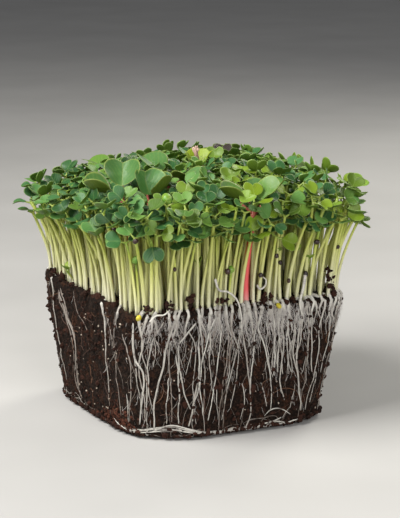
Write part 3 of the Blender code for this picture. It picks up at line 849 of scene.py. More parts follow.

# Roots of the front and left sides, placed in the photo's pixels: how thick each is, and its places
ROOT_SCALE = 0.00072
PHOTO_ROOTS = (
    (0.75, (59, 290), (67, 316), (76, 345), (77, 378), (80, 396)),
    (0.60, (61, 288), (69, 318), (75, 340), (78, 372), (79, 392)),
    (0.55, (57, 292), (65, 315), (74, 348), (75, 380), (81, 398)),
    (0.35, (72, 291), (77, 312), (87, 331), (89, 349)),
    (0.40, (102, 316), (106, 350), (110, 414)),
    (0.40, (106, 317), (114, 349), (121, 415)),
    (0.45, (122, 334), (131, 367), (130, 421)),
    (0.75, (133, 323), (134, 356), (144, 377), (140, 424)),
    (0.80, (177, 312), (168, 341), (162, 372), (155, 399), (154, 430)),
    (0.60, (196, 323), (184, 338), (178, 350), (183, 388), (190, 409)),
    (0.45, (222, 323), (217, 367), (214, 388), (208, 420)),
    (0.60, (242, 332), (248, 372), (250, 410), (244, 430)),
    (0.45, (237, 350), (228, 385), (222, 420)),
    (0.55, (257, 323), (266, 354), (271, 386), (270, 410)),
    (0.50, (254, 334), (254, 352), (251, 378), (249, 399)),
    (0.30, (266, 334), (267, 350), (272, 377)),
    (0.30, (308, 351), (305, 364), (302, 374)),
    (0.30, (209, 337), (213, 356), (213, 377)),
    (0.60, (199, 334), (199, 360), (199, 384), (194, 405), (192, 421)),
    (0.30, (229, 350), (229, 370), (227, 384)),
    (0.35, (242, 383), (244, 399), (240, 419)),
    (0.35, (262, 383), (264, 394), (266, 406)),
    (0.30, (216, 386), (217, 402), (218, 419)),
    (0.30, (295, 384), (293, 396), (290, 408)),
    (0.35, (134, 356), (137, 378), (141, 405)),
    (0.55, (176, 356), (179, 388), (178, 424)),
    (0.30, (193, 341), (190, 358), (186, 375)),
    (0.35, (169, 378), (167, 400), (166, 424)),
    (0.75, (197, 383), (194, 402), (189, 426)),
    (0.30, (126, 394), (128, 408), (129, 422)),
    (0.30, (146, 374), (147, 398), (147, 422)),
    (0.30, (152, 321), (146, 334), (141, 354)),
    (0.30, (155, 317), (155, 347), (154, 367)),
    (0.50, (268, 304), (274, 338), (271, 374)),
    (0.50, (285, 302), (281, 340), (283, 374)),
    (0.50, (291, 305), (287, 345), (292, 372)),
    (0.50, (299, 310), (292, 340), (293, 373)),
    (0.60, (273, 310), (275, 340), (274, 375)),
    (0.70, (279, 308), (279, 345), (277, 372)),
    (0.55, (283, 312), (283, 350), (280, 380), (284, 400)),
    (0.60, (287, 318), (290, 345), (288, 374)),
    (0.65, (295, 320), (294, 350), (297, 372)),
    (0.85, (308, 300), (300, 323), (297, 345), (298, 375), (300, 410)),
    (0.50, (312, 310), (312, 367), (316, 374), (309, 402)),
    (0.45, (329, 305), (329, 334), (320, 372)),
    (0.50, (215, 318), (206, 345), (200, 380), (203, 415)),
    (0.45, (163, 322), (150, 350), (148, 380), (152, 410)),
    (0.40, (232, 330), (238, 352), (236, 380), (230, 408)),
    (0.40, (189, 330), (196, 352), (193, 384), (196, 424)),
)

# Where along a ray from the camera the block is looked for, before and behind its middle, and in what steps
RAY_BEFORE = 0.12
RAY_BEHIND = 0.10
RAY_STEP = 0.0005


def ray_hit(column, row, out=0.0):
    """Where the photo's pixel meets the block's side, or that side carried on upwards, grown by out."""
    ray = AHEAD + RIGHT * ((column - PHOTO_WIDTH / 2) / FOCAL) + UP * ((PHOTO_HEIGHT / 2 - row) / FOCAL)

    def outside(far):
        point = CAMERA + ray * far
        height = min(max(point.z, 0.001), RIM_HEIGHT)
        reach = side_point(math.atan2(point.y, point.x), height, out)
        return math.hypot(point.x, point.y) - math.hypot(reach.x, reach.y)

    near = DISTANCE - RAY_BEFORE
    while outside(near) > 0 and near < DISTANCE + RAY_BEHIND:
        near += RAY_STEP
    return CAMERA + ray * near


def ray_heading(column, row):
    """The heading and height where the photo's pixel meets the block's side."""
    point = ray_hit(column, row)
    return math.atan2(point.y, point.x), min(max(point.z, 0.002), BLOCK_HEIGHT - 0.0008)


def ray_route(pixels):
    return [ray_heading(column, row) for column, row in pixels]


def any_spot(routes, rng):
    """A heading and height somewhere along one of the routes."""
    route = rng.choice(routes)
    return route[rng.randrange(len(route))]


def root_tube(shape, route, radius, rng, tint, sides=5, start=None, foot=None, taper=0.45):
    """A root along a route of headings and heights on the mix's surface, from a stem's foot where given."""
    route = np.array(route, float)
    route[:, 0] = np.unwrap(route[:, 0])
    route = smooth_path(route, 6)
    length = lengths_along(route * (MEAN_REACH, 1.0))[-1]
    route = even_path(route, max(int(length / ROOT_SPACING), 4))
    phase, wave = rng.uniform(0, 6.3), rng.uniform(0.001, 0.004)
    headings, heights = route.T
    headings += wave * np.sin(phase + heights * 480) + 0.3 * wave * np.sin(phase * 2 + heights * 1300)
    heights[:] = np.clip(heights, radius * 1.1, HIGHEST_ROOT)
    outs = np.array([soil_out(side_point(*spot), math.remainder(spot[0], 2 * math.pi)) for spot in route])
    calm = np.convolve(np.pad(outs, SMOOTHING // 2, "edge"), np.full(SMOOTHING, 1 / SMOOTHING), "valid")
    outs = np.maximum(calm + radius * 0.5, outs + radius * 0.1)
    path = [side_point(heading, height, out) for (heading, height), out in zip(route, outs)]
    outward = [(math.cos(heading), math.sin(heading), 0.05) for heading, height in route]
    tints = np.repeat(np.array([tint], float), len(path), axis=0)
    radii = radius * np.linspace(1.0, taper, len(path))
    if start is None:
        radii *= np.minimum(0.3 + 0.25 * np.arange(len(path)), 1.0)
    else:
        above = smooth_path((start, (Vector(start) + path[0]) / 2 + Vector((0, 0, 0.0007)), path[0]), 3)[:-1]
        path = [Vector(point) for point in above] + path
        outward = [outward[0]] * len(above) + outward
        radii = np.concatenate((np.full(len(above), radius), radii))
        radii[0] *= 0.5
        tints = np.concatenate((np.repeat(tints[:1], len(above), axis=0), tints))
        down = lengths_along(np.array(path))
        radii += (foot - radius) * np.exp(-((down / FOOT_FADE) ** 2))
        tints[:, 0] += (1 - tints[:, 0]) * np.exp(-down / WHITE_FADE)
    tube(shape, path, radii, sides, 0, (0, 0, 0), tints, outward=outward, flat=0.8)
    return route


def bareness(heading):
    """How bare of roots the mix is: the left side nearly, the others hardly."""
    aside = math.pi - abs(math.remainder(heading, 2 * math.pi))
    return 0.9 if aside < BARE_WIDTH else 0.0


def make_roots(materials, stems):
    """The net of roots on the sides: those of the photo, those of the stems along the rim, and fine ones."""
    rng = random.Random(ROOT_SEED)
    shape = Shape()
    routes = []
    for thickness, *pixels in PHOTO_ROOTS:
        # Roots on the block's left side are painted darker: painted shade on that side.
        bright = rng.uniform(0.7, 1.0) * (LEFT_PAINTED_SHADE if pixels[0][0] < LEFT_EDGE else 1.0)
        tint = (bright, rng.random(), 0)
        routes.append(root_tube(shape, ray_route(pixels), thickness * ROOT_SCALE, rng, tint, taper=0.6))
    for seedling in stems:
        add_stem_root(shape, routes, seedling, rng)
    for _ in range(ROOTLETS):
        add_rootlet(shape, routes, rng)
    add_bundle(shape, rng)
    return shape.build("roots", [materials["root"]]), routes


def add_stem_root(shape, routes, seedling, rng):
    """The root of a stem near the rim, over the rim and down the side, often a short one at the front."""
    base = seedling.base
    heading = math.atan2(base.y, base.x)
    rim = side_point(heading, RIM_HEIGHT)
    if math.hypot(rim.x, rim.y) - math.hypot(base.x, base.y) > RIM_ROOT_REACH:
        return
    at_front = FRONT_FROM < heading < FRONT_TO
    if rng.random() < (0.0 if at_front else max(bareness(heading), SPARE_ROOTS)):
        return
    low = BUNDLE_HEIGHT if rng.random() < 0.6 else rng.uniform(0.004, 0.036)
    if at_front and rng.random() < 0.75:
        low = rng.uniform(0.030, 0.045)
    heading += rng.uniform(-0.02, 0.02)
    route = [(heading, ROOT_TOP)]
    for step in range(1, ROOT_STEPS + 1):
        heading += rng.uniform(-1, 1) * (0.03 if at_front else 0.055)
        route.append((heading, ROOT_TOP + (low - BLOCK_HEIGHT) * step / ROOT_STEPS))
    radius = rng.uniform(*ROOT_RADIUS) * (0.7 if low > 0.02 else 1.0)
    tint = (rng.uniform(0.3, 0.95), rng.random(), 0)
    start = base + Vector((0, 0, 0.0012))
    routes.append(root_tube(shape, route, radius, rng, tint, start=start, foot=seedling.radius))


def add_rootlet(shape, routes, rng):
    """A fine root that leaves a larger one and wanders off, mostly downwards."""
    heading, height = any_spot(routes, rng)
    if rng.random() < (0.5 if FRONT_FROM < heading < FRONT_TO else 0.6 * bareness(heading)):
        return
    way, length = rng.uniform(-0.7, 0.7), rng.uniform(0.004, 0.022)
    points = [(heading, height)]
    for _ in range(3):
        heading += math.sin(way) * length / 3 / MEAN_REACH
        height -= math.cos(way) * length / 3
        way = way * 0.5 + rng.uniform(-0.45, 0.45)
        points.append((heading, min(max(height, 0.002), 0.056)))
    tint = (rng.uniform(0.1, 0.8), rng.random(), 0)
    root_tube(shape, points, rng.uniform(0.00009, 0.0002), rng, tint, sides=3)


# The white bundle along the front foot, in the photo's pixels, and the loose strands, each after its radius
BUNDLE = (
    (124, 425), (131, 430), (150, 431), (173, 428), (200, 433), (215, 435), (232, 432), (255, 430), (270, 425)
)
BUNDLE_STRANDS = 7
BUNDLE_SPREAD = 0.0012
FOOT_STRANDS = 46
LOOSE_STRANDS = (
    (0.00032, (264, 416), (270, 410), (277, 408), (284, 410), (290, 414)),
    (0.00045, (266, 428), (274, 425), (282, 426), (290, 421), (297, 419)),
    (0.00040, (268, 424), (276, 421), (286, 424), (294, 420)),
    (0.00038, (255, 431), (262, 424), (272, 421), (280, 417)),
    (0.00045, (148, 430), (147, 436), (150, 440)),
    (0.00035, (113, 418), (120, 425), (127, 429), (137, 430)),
)


def add_bundle(shape, rng):
    """The roots that run along the block's foot: a white bundle at the front, thin strands elsewhere."""
    middle = np.array(ray_route(BUNDLE))
    for _ in range(BUNDLE_STRANDS):
        first = rng.randrange(0, 3)
        route = middle[first:len(middle) - rng.randrange(0, 3)].copy()
        for point in route:
            point[1] = max(point[1] + rng.uniform(-1, 1) * BUNDLE_SPREAD, 0.0012)
        tint = (rng.uniform(0.8, 1.0), rng.random(), 0)
        root_tube(shape, route, rng.uniform(0.00016, 0.00036), rng, tint, taper=0.6)
    for _ in range(FOOT_STRANDS):
        heading, height = rng.uniform(-math.pi, math.pi), rng.uniform(0.0014, 0.0050)
        way = rng.choice((-1, 1))
        route = [(heading, height)]
        for _ in range(4):
            heading += way * rng.uniform(0.03, 0.10)
            route.append((heading, min(max(height + rng.uniform(-0.0018, 0.0018), 0.0010), 0.0060)))
        radius = rng.uniform(0.00010, 0.00024)
        root_tube(shape, route, radius, rng, (rng.uniform(0.3, 0.8), rng.random(), 0), sides=4)
    for radius, *pixels in LOOSE_STRANDS:
        root_tube(shape, ray_route(pixels), radius, rng, (0.95, 0.5, 0), taper=0.6)


# The photo's columns where the hairs are thickest, and how far beside them they reach, both in pixels
HAIRS = 3000
HAZES = ((144, 9), (162, 12), (184, 10), (202, 7), (229, 13), (251, 7), (276, 11), (297, 7))
HAZE_ROW = 318
PIXEL_SIZE = 0.00045
HAIR_FADE = 0.0095
LOWEST_HAIR = 0.008
THICKEST_HAZE = 0.34
STRAY_HAIRS = 0.008
HAIR_POINTS = 12


def make_hairs(materials, routes):
    """White root hairs: fine fuzz along the upper roots, thickest in the haze at the front."""
    rng = random.Random(ROOT_SEED + 1)
    shape = Shape()
    hazes = [(ray_heading(column, HAZE_ROW)[0], reach * PIXEL_SIZE / (BLOCK_WIDTH / 2))
             for column, reach in HAZES]
    while shape.count < HAIRS * HAIR_POINTS:
        heading, height = any_spot(routes, rng)
        haze = 0.10 * (1 - bareness(heading))
        for centre, reach in hazes:
            haze += 0.8 * math.exp(-(((heading - centre) / reach) ** 2))
        haze = min(haze, THICKEST_HAZE) * (0.6 + 1.1 * noise.noise(Vector((heading * 22, 3.5, height * 40))))
        down = (BLOCK_HEIGHT - height) / HAIR_FADE
        if height >= LOWEST_HAIR and rng.random() <= haze * math.exp(-down * down) + STRAY_HAIRS:
            add_hair(shape, heading + rng.gauss(0, 0.024), height + rng.gauss(0, 0.0012), rng)
    return shape.build("root_hairs", [materials["hair"]])


def add_hair(shape, heading, height, rng):
    """A fine curled hair that hangs from a spot on the side and stands off it a little."""
    start = on_side(heading, min(height, HIGHEST_ROOT), 0.0001)
    out = Vector((math.cos(heading), math.sin(heading), 0))
    aside = Vector((-out.y, out.x, 0))
    length = rng.uniform(0.0010, 0.0042)
    way = aside * rng.gauss(0, 0.35) + Vector((0, 0, -1)) + out * rng.uniform(0.05, 0.4)
    way = way.normalized() * length
    curl = (aside * rng.uniform(-1, 1) + Vector((0, 0, rng.uniform(-1, 1)))) * 0.0004
    path = [start, start + way * 0.35 + curl, start + way * 0.7 + curl * 0.7, start + way]
    radius = rng.uniform(0.00004, 0.00007)
    tube(shape, path, radius, 3, 0, (0, 0, 0), (rng.random(), 0, 0), outward=tuple(out))


# Small things among the stems, at the photo's pixels, with the radius in metres of all but the sprouts
BUDS = ((167, 203, 0.0025), (136, 263, 0.0020), (231, 272, 0.0016))
SPROUTS = ((68, 268), (277, 251), (295, 250), (308, 257), (198, 262), (217, 232))
HULLS = (
    (118, 227, 0.0011), (139, 239, 0.0012), (176, 270, 0.0009), (278, 257, 0.0010), (285, 263, 0.0010),
    (263, 275, 0.0011), (320, 242, 0.0012), (340, 246, 0.0009), (226, 272, 0.0013), (305, 273, 0.0014),
    (153, 206, 0.0010), (291, 282, 0.0010)
)
SEEDS = ((139, 305, 0.0016), (278, 297, 0.0015))
CLODS = (
    (333, 292, 0.0024), (332, 284, 0.0022), (329, 277, 0.0020), (328, 270, 0.0017), (50, 279, 0.0022),
    (54, 272, 0.0020), (63, 276, 0.0021), (72, 283, 0.0020), (88, 293, 0.0021), (189, 299, 0.0024),
    (222, 300, 0.0022), (268, 296, 0.0020), (260, 303, 0.0015), (170, 305, 0.0019), (148, 309, 0.0021)
)
LOOSE_ROOTS = (
    (0.00055, (215, 279), (219, 290), (228, 292), (237, 300), (241, 314), (242, 332)),
    (0.00080, (305, 275), (304, 284), (302, 293), (300, 303), (302, 314)),
    (0.00050, (257, 285), (260, 289), (265, 286), (266, 280), (263, 277)),
    (0.00045, (150, 322), (156, 316), (164, 315), (170, 310)),
)
SMALL_SEED = 41
SMALL_LEAN = 0.96
BUD_STEM = 0.0007
SPROUT_STEM = 0.00065
PIXEL_COST = 0.0012
STEM_SPOTS = 30


def stem_in_photo(column, row, stems):
    """The place on a stem that shows nearest to the photo's pixel, in front of the others, and its radius."""
    best, place, radius = None, None, None
    for stem in stems:
        for step in range(1, STEM_SPOTS):
            spot = stem.stem_point(step / STEM_SPOTS)
            x, y, depth = in_photo(spot)
            cost = depth + PIXEL_COST * math.hypot(x - column, y - row)
            if best is None or cost < best:
                best, place, radius = cost, spot, stem.radius
    return place, radius


def smooth_lump(shape, centre, radius, turn, kind, tint, groove=0.0, thin=0.85, long=1.12):
    """A rounded seed, hull or bud, with a groove down one side."""
    axes = np.array(turn.to_matrix()) * radius * np.array(((1,), (thin,), (long,)))
    before = len(shape.points)
    lump(shape, (0, 0, 0), np.eye(3), 9, 14, 0.0, random.Random(0), kind, tint)
    unit = shape.points[before]
    dent = 1 - groove * np.exp(-((unit[:, :1] / 0.22) ** 2)) * (unit[:, 1:2] > -0.4)
    shape.points[before] = np.array(centre) + (unit * dent) @ axes


def small_stem(tip, radius, leaves=()):
    """A stem whose foot is a little further in than its tip."""
    return Seedling(tip.x * SMALL_LEAN, tip.y * SMALL_LEAN, tip, radius, leaves)


def make_small_things(materials, stems, crest):
    """Buds, half-open sprouts, seed hulls, seeds and loose roots among the stems, and a husk on the crest."""
    rng = random.Random(SMALL_SEED)
    shape = Shape()
    names = ("stem", "leaf", "hull", "seed", "root", "husk")
    kinds = {name: number for number, name in enumerate(names)}
    small = small_blade()
    for column, row, radius in BUDS:
        tip = ray_hit(column, row, -0.0010)
        fine_stem(shape, small_stem(tip, BUD_STEM), kinds["stem"], rng, (0.9, 0.2, 0.6))
        centre = tip + Vector((0, 0, radius * 0.7))
        smooth_lump(shape, centre, radius, any_turn(rng), kinds["seed"], (0.87, 1, 0), 0.16)
    for column, row in SPROUTS:
        tip = ray_hit(column, row, -0.0015) - Vector((0, 0, 0.002))
        heading = rng.uniform(0, 2 * math.pi)
        leaves = []
        for turn in (0, math.pi):
            rise, size = math.radians(rng.uniform(48, 74)), rng.uniform(0.42, 0.55)
            leaves.append(Leaf(tip, heading + turn, rise, LEAF_HALF, size))
        sprout = small_stem(tip, SPROUT_STEM, leaves)
        fine_seedling(shape, sprout, small, (kinds["stem"], kinds["leaf"]), rng, 0.95)
    for column, row, radius in HULLS:
        place, stem_radius = stem_in_photo(column, row, stems)
        centre = place + LEVEL * (stem_radius + radius * 0.55)
        smooth_lump(shape, centre, radius, any_turn(rng), kinds["hull"], (rng.random(), 1, 0), 0.28)
    for column, row, radius in SEEDS:
        centre = on_side(*ray_heading(column, row), radius * 0.5)
        smooth_lump(shape, centre, radius, any_turn(rng), kinds["seed"], (0.0, 1, 0), 0.1, 0.7, 0.9)
    for radius, *pixels in LOOSE_ROOTS:
        path = smooth_path([ray_hit(column, row, 0.0012) for column, row in pixels], 6)
        radii = radius * np.linspace(1.0, 0.55, len(path))
        tube(shape, path, radii, 6, kinds["root"], (0, 0, 0), (0.95, 0, 0), outward=tuple(LEVEL))
    add_husk(shape, crest, kinds["husk"], rng)
    return shape.build("buds_hulls_and_seeds", [materials[name] for name in names])


# The husk's strand, as steps from the tip of the crest's stem, and how its folds lean
HUSK_STRAND = ((0, 0, 0), (0.0006, -0.0008, 0.0045), (-0.0009, -0.0004, 0.0085), (-0.0008, 0.0004, 0.0112))
HUSK_RADIUS = 0.0011
HUSK_LEANS = (-0.5, 0.1, 0.6)


def add_husk(shape, crest, kind, rng):
    """The papery seed coat that the crest's leaves still carry, and the dry strand that it hangs by."""
    path = smooth_path([crest.tip + Vector(step) for step in HUSK_STRAND], 5)
    radii = 0.0005 + 0.0005 * np.abs(np.sin(np.linspace(0.3, 6.5, len(path))))
    tube(shape, path, radii, 7, kind, (0, 0, 0), (0.1, 0, 0))
    for lean in HUSK_LEANS:
        centre = Vector(path[-1]) + RIGHT * (math.sin(lean) * HUSK_RADIUS) - UP * (abs(lean) * HUSK_RADIUS)
        size, tint = HUSK_RADIUS * rng.uniform(0.6, 1.0), (rng.uniform(0.3, 1.0), 0, 0)
        smooth_lump(shape, centre, size, Quaternion(LEVEL, lean), kind, tint, 0.6, 0.4, 2.2)


# Materials


class Nodes:
    """A material's node tree, with short calls for the nodes that several materials use."""

    def __init__(self, name):
        self.material = bpy.data.materials.new(name)
        self.material.use_nodes = True
        self.tree = self.material.node_tree
        self.shader = self.tree.nodes["Principled BSDF"]
        self.output = self.tree.nodes["Material Output"]

    def node(self, kind, inputs=None, **settings):
        made = self.tree.nodes.new(kind)
        for name, value in settings.items():
            setattr(made, name, value)
        for name, value in (inputs or {}).items():
            self.set(made.inputs[name], value)
        return made

    def set(self, socket, value):
        """Links a socket to another node's output, or sets its value."""
        if isinstance(value, bpy.types.NodeSocket):
            self.tree.links.new(value, socket)
        else:
            socket.default_value = value

    def attribute(self, name):
        """The three values of a point's own attribute."""
        read = self.node("ShaderNodeAttribute", attribute_name=name)
        parts = self.node("ShaderNodeSeparateXYZ", {"Vector": read.outputs["Vector"]})
        return [parts.outputs[axis] for axis in "XYZ"]

    def math(self, operation, first, second=0.0, third=0.0, clamp=False):
        values = {0: first, 1: second, 2: third}
        return self.node("ShaderNodeMath", values, operation=operation, use_clamp=clamp).outputs[0]

    def ramp(self, value, stops):
        """A colour or grey that changes with a value, through (place, colour) stops."""
        made = self.node("ShaderNodeValToRGB", {"Fac": value})
        elements = made.color_ramp.elements
        while len(elements) < len(stops):
            elements.new(0.5)
        for element, (place, colour) in zip(elements, stops):
            element.position = place
            element.color = (*colour, 1)
        return made.outputs["Color"]

    def mix(self, share, first, second):
        """The first colour, with a share of the second mixed in."""
        made = self.node("ShaderNodeMix", data_type="RGBA", clamp_factor=True)
        for socket, value in ((made.inputs[0], share), (made.inputs[6], first), (made.inputs[7], second)):
            self.set(socket, (*value, 1) if isinstance(value, tuple) else value)
        return made.outputs[2]

    def noise(self, scale, detail=3.0, roughness=0.6, distortion=0.0):
        """Noise over the object's own space."""
        where = self.node("ShaderNodeTexCoord").outputs["Object"]
        inputs = {"Vector": where, "Scale": scale, "Detail": detail, "Roughness": roughness,
                  "Distortion": distortion}
        return self.node("ShaderNodeTexNoise", inputs).outputs["Fac"]

    def bump(self, height, distance, strength=1.0):
        made = self.node("ShaderNodeBump", {"Height": height, "Distance": distance, "Strength": strength})
        return made.outputs["Normal"]

    def finish(self, **inputs):
        for name, value in inputs.items():
            socket = self.shader.inputs[name.replace("_", " ")]
            self.set(socket, (*value, 1) if isinstance(value, tuple) else value)
        return self.material

    def see_through(self, share, colour, normal):
        """Lets light through a thin blade: a share of the surface passes it on, coloured."""
        passing = self.node("ShaderNodeBsdfTranslucent", {"Color": colour, "Normal": normal})
        both = self.node("ShaderNodeMixShader", {0: share})
        self.tree.links.new(self.shader.outputs[0], both.inputs[1])
        self.tree.links.new(passing.outputs[0], both.inputs[2])
        self.tree.links.new(both.outputs[0], self.output.inputs["Surface"])


def soil_material():
    nodes = Nodes("potting_mix")
    broad, grain = nodes.noise(140, 4.0), nodes.noise(900, 3.0, 0.7)
    dark = nodes.ramp(grain, ((0.35, (0.003, 0.0016, 0.001)), (0.52, (0.010, 0.0055, 0.0035)),
                              (0.72, (0.046, 0.024, 0.015))))
    rusty = nodes.ramp(grain, ((0.38, (0.008, 0.003, 0.002)), (0.74, (0.085, 0.032, 0.014))))
    patches = nodes.ramp(broad, ((0.52, (0, 0, 0)), (0.70, (1, 1, 1))))
    colour = nodes.mix(patches, dark, rusty)
    rough = nodes.math("MULTIPLY_ADD", grain, -0.3, 1.0)
    height = nodes.math("ADD", grain, nodes.math("MULTIPLY", nodes.noise(2600, 2.0), 0.35))
    return nodes.finish(Base_Color=colour, Roughness=rough, Specular_IOR_Level=0.12,
                        Normal=nodes.bump(height, 0.0009, 1.0))


def crumb_material():
    nodes = Nodes("crumb")
    random_value, pale, _ = nodes.attribute("tint")
    grain = nodes.noise(1500, 3.0)
    dark = nodes.ramp(grain, ((0.38, (0.005, 0.003, 0.0025)), (0.68, (0.034, 0.018, 0.013))))
    tinted = nodes.mix(nodes.math("MULTIPLY", random_value, 0.5), dark, (0.115, 0.040, 0.024))
    colour = nodes.mix(pale, tinted, (0.42, 0.36, 0.29))
    return nodes.finish(Base_Color=colour, Roughness=0.9, Specular_IOR_Level=0.12,
                        Normal=nodes.bump(grain, 0.0004))


def fibre_material():
    nodes = Nodes("fibre")
    random_value, _, _ = nodes.attribute("tint")
    colour = nodes.ramp(random_value, ((0.0, (0.030, 0.014, 0.009)), (0.6, (0.10, 0.040, 0.020)),
                                       (1.0, (0.30, 0.13, 0.055))))
    shade = nodes.mix(nodes.noise(700, 2.0), colour, (0.02, 0.01, 0.007))
    return nodes.finish(Base_Color=shade, Roughness=0.75)


def root_material():
    nodes = Nodes("root")
    bright, _, _ = nodes.attribute("tint")
    stain = nodes.noise(260, 4.0, 0.65)
    clean = nodes.ramp(bright, ((0.0, (0.11, 0.080, 0.062)), (0.5, (0.27, 0.225, 0.19)),
                                (1.0, (0.74, 0.72, 0.66))))
    stained = nodes.ramp(stain, ((0.50, (0, 0, 0)), (0.72, (0.8, 0.8, 0.8))))
    colour = nodes.mix(stained, clean, (0.085, 0.055, 0.042))
    fine = nodes.noise(3000, 2.0)
    normal = nodes.bump(fine, 0.0002)
    nodes.see_through(0.22, colour, normal)
    return nodes.finish(Base_Color=colour, Roughness=0.5, Specular_IOR_Level=0.45, Normal=normal)


def hair_material():
    nodes = Nodes("root_hair")
    bright, _, _ = nodes.attribute("tint")
    colour = nodes.ramp(bright, ((0.0, (0.30, 0.27, 0.25)), (1.0, (0.72, 0.70, 0.67))))
    speckle = nodes.mix(nodes.noise(900, 2.0), colour, (0.55, 0.52, 0.49))
    return nodes.finish(Base_Color=speckle, Roughness=0.6, Specular_IOR_Level=0.4)


def coat_material(name, dark, light, rough, bumps):
    """A seed, its hull or its husk: one colour shading into another, wrinkled."""
    nodes = Nodes(name)
    random_value, _, _ = nodes.attribute("tint")
    wrinkle = nodes.noise(bumps, 4.0, 0.6, 0.8)
    shade = nodes.math("ADD", nodes.math("MULTIPLY", random_value, 0.6), nodes.math("MULTIPLY", wrinkle, 0.5))
    colour = nodes.ramp(shade, ((0.15, dark), (0.85, light)))
    return nodes.finish(Base_Color=colour, Roughness=rough, Specular_IOR_Level=0.5,
                        Normal=nodes.bump(wrinkle, 0.0005))


def stem_material(name, stops, passing):
    """A stem, coloured by its height; passing is the light that it lets through."""
    nodes = Nodes(name)
    _, height, _ = nodes.attribute("place")
    random_value, shade, _ = nodes.attribute("tint")
    shift = nodes.math("MULTIPLY", nodes.math("SUBTRACT", random_value, 0.5), 0.22)
    shifted = nodes.math("ADD", height, shift)
    colour = nodes.ramp(shifted, stops)
    streak = nodes.noise(420, 3.0)
    darker = nodes.mix(nodes.math("MULTIPLY", streak, 0.35), colour, passing)
    varied = nodes.mix(nodes.math("MULTIPLY", shade, 0.3), darker, tuple(0.55 * part for part in passing))
    fine = nodes.noise(2600, 2.0)
    normal = nodes.bump(fine, 0.00015)
    nodes.see_through(0.33, varied, normal)
    return nodes.finish(Base_Color=varied, Roughness=0.36, Specular_IOR_Level=0.5, Normal=normal)


PURPLE = (0.022, 0.006, 0.014)
VEIN_SHARE = 0.3


def leaf_material(name, faces, under, rims, passing):
    """A seed leaf: its upper face by its own tint, its underside, its pale rim and its veins."""
    nodes = Nodes(name)
    across, along, rim = nodes.attribute("place")
    random_value, above, lime = nodes.attribute("tint")
    blotch = nodes.noise(330, 3.0)
    own = nodes.math("MULTIPLY", random_value, 0.75)
    mixed = nodes.math("ADD", own, nodes.math("MULTIPLY", blotch, 0.25))
    upper = nodes.ramp(mixed, faces)
    # By the lime share, the upper face takes the colour of the light that the blade lets through: partly the
    # leaf's own lime tone, partly painted back-light glow.
    limed = nodes.mix(lime, upper, passing)
    limed = nodes.mix(nodes.math("MULTIPLY", lime, -1.0, clamp=True), limed, PURPLE)
    lower = nodes.mix(nodes.math("MULTIPLY", blotch, 0.5), under, limed)
    side = nodes.mix(nodes.math("MULTIPLY_ADD", above, 0.5, 0.5), lower, limed)
    beside = nodes.math("ABSOLUTE", across)
    slant = nodes.math("SUBTRACT", nodes.math("MULTIPLY", along, 22.0), nodes.math("MULTIPLY", beside, 13.0))
    slant = nodes.math("ADD", slant, nodes.math("MULTIPLY", blotch, 5.0))
    ribs = nodes.math("POWER", nodes.math("ABSOLUTE", nodes.math("SINE", slant)), 14.0)
    spine = nodes.math("SUBTRACT", 1.0, nodes.math("MULTIPLY", beside, 16.0), clamp=True)
    vein = nodes.math("MAXIMUM", nodes.math("MULTIPLY", ribs, 0.4), spine)
    vein = nodes.math("MULTIPLY", vein, VEIN_SHARE)
    veined = nodes.mix(vein, side, rims)
    edge = nodes.ramp(rim, ((0.91, (0, 0, 0)), (0.985, (0.55, 0.55, 0.55))))
    colour = nodes.mix(edge, veined, rims)
    rough = nodes.math("MULTIPLY_ADD", nodes.noise(600, 2.0), 0.25, 0.34)
    height = nodes.math("SUBTRACT", nodes.math("MULTIPLY", blotch, 0.6), vein)
    normal = nodes.bump(height, 0.00025, 0.8)
    glow = nodes.mix(nodes.math("MULTIPLY", blotch, 0.4), passing, colour)
    nodes.see_through(0.25, glow, normal)
    return nodes.finish(Base_Color=colour, Roughness=rough, Specular_IOR_Level=0.45, Normal=normal)


def make_materials():
    return {
        "soil": soil_material(),
        "crumb": crumb_material(),
        "fibre": fibre_material(),
        "root": root_material(),
        "hair": hair_material(),
        "hull": coat_material("seed_hull", (0.006, 0.003, 0.003), (0.045, 0.020, 0.015), 0.32, 500),
        "seed": coat_material("green_seed", (0.56, 0.44, 0.03), (0.085, 0.235, 0.028), 0.38, 420),
        "husk": coat_material("papery_husk", (0.10, 0.040, 0.022), (0.66, 0.46, 0.36), 0.5, 600),
        "stem": stem_material(
            "pale_stem",
            ((0.0, (0.88, 0.85, 0.74)), (0.22, (0.83, 0.82, 0.57)), (0.55, (0.74, 0.76, 0.30)),
             (0.88, (0.48, 0.57, 0.07)), (1.0, (0.22, 0.38, 0.03))),
            (0.78, 0.80, 0.24)),
        "leaf": leaf_material(
            "seed_leaf",
            ((0.1, (0.009, 0.050, 0.010)), (0.35, (0.023, 0.105, 0.027)), (0.6, (0.060, 0.190, 0.058)),
             (0.85, (0.130, 0.290, 0.055))),
            (0.090, 0.160, 0.013), (0.36, 0.50, 0.14), (0.27, 0.38, 0.004)),
        "radish_stem": stem_material(
            "pink_stem",
            ((0.0, (0.95, 0.45, 0.45)), (0.12, (0.95, 0.14, 0.17)), (0.55, (0.85, 0.14, 0.13)),
             (0.85, (0.45, 0.13, 0.07)), (1.0, (0.50, 0.16, 0.10))),
            (0.95, 0.20, 0.16)),
        "radish_leaf": leaf_material(
            "radish_leaf",
            ((0.1, (0.022, 0.105, 0.028)), (0.5, (0.050, 0.175, 0.060)), (0.9, (0.090, 0.235, 0.042))),
            (0.110, 0.150, 0.014), (0.34, 0.40, 0.09), (0.26, 0.36, 0.010)),
    }


# Light, floor and camera


def place_towards(name, data, place, ahead):
    """A camera or light at a place, turned to look ahead."""
    placed = bpy.data.objects.new(name, data)
    placed.location = place
    placed.rotation_mode = "QUATERNION"
    placed.rotation_quaternion = ahead.to_track_quat("-Z", "Y")
    bpy.context.scene.collection.objects.link(placed)
    return placed


def make_camera():
    data = bpy.data.cameras.new("camera")
    data.lens = LENS
    data.sensor_width = SENSOR
    bpy.context.scene.camera = place_towards("camera", data, CAMERA, AHEAD)


LIT_PLACE = Vector((0, 0, 0.07))

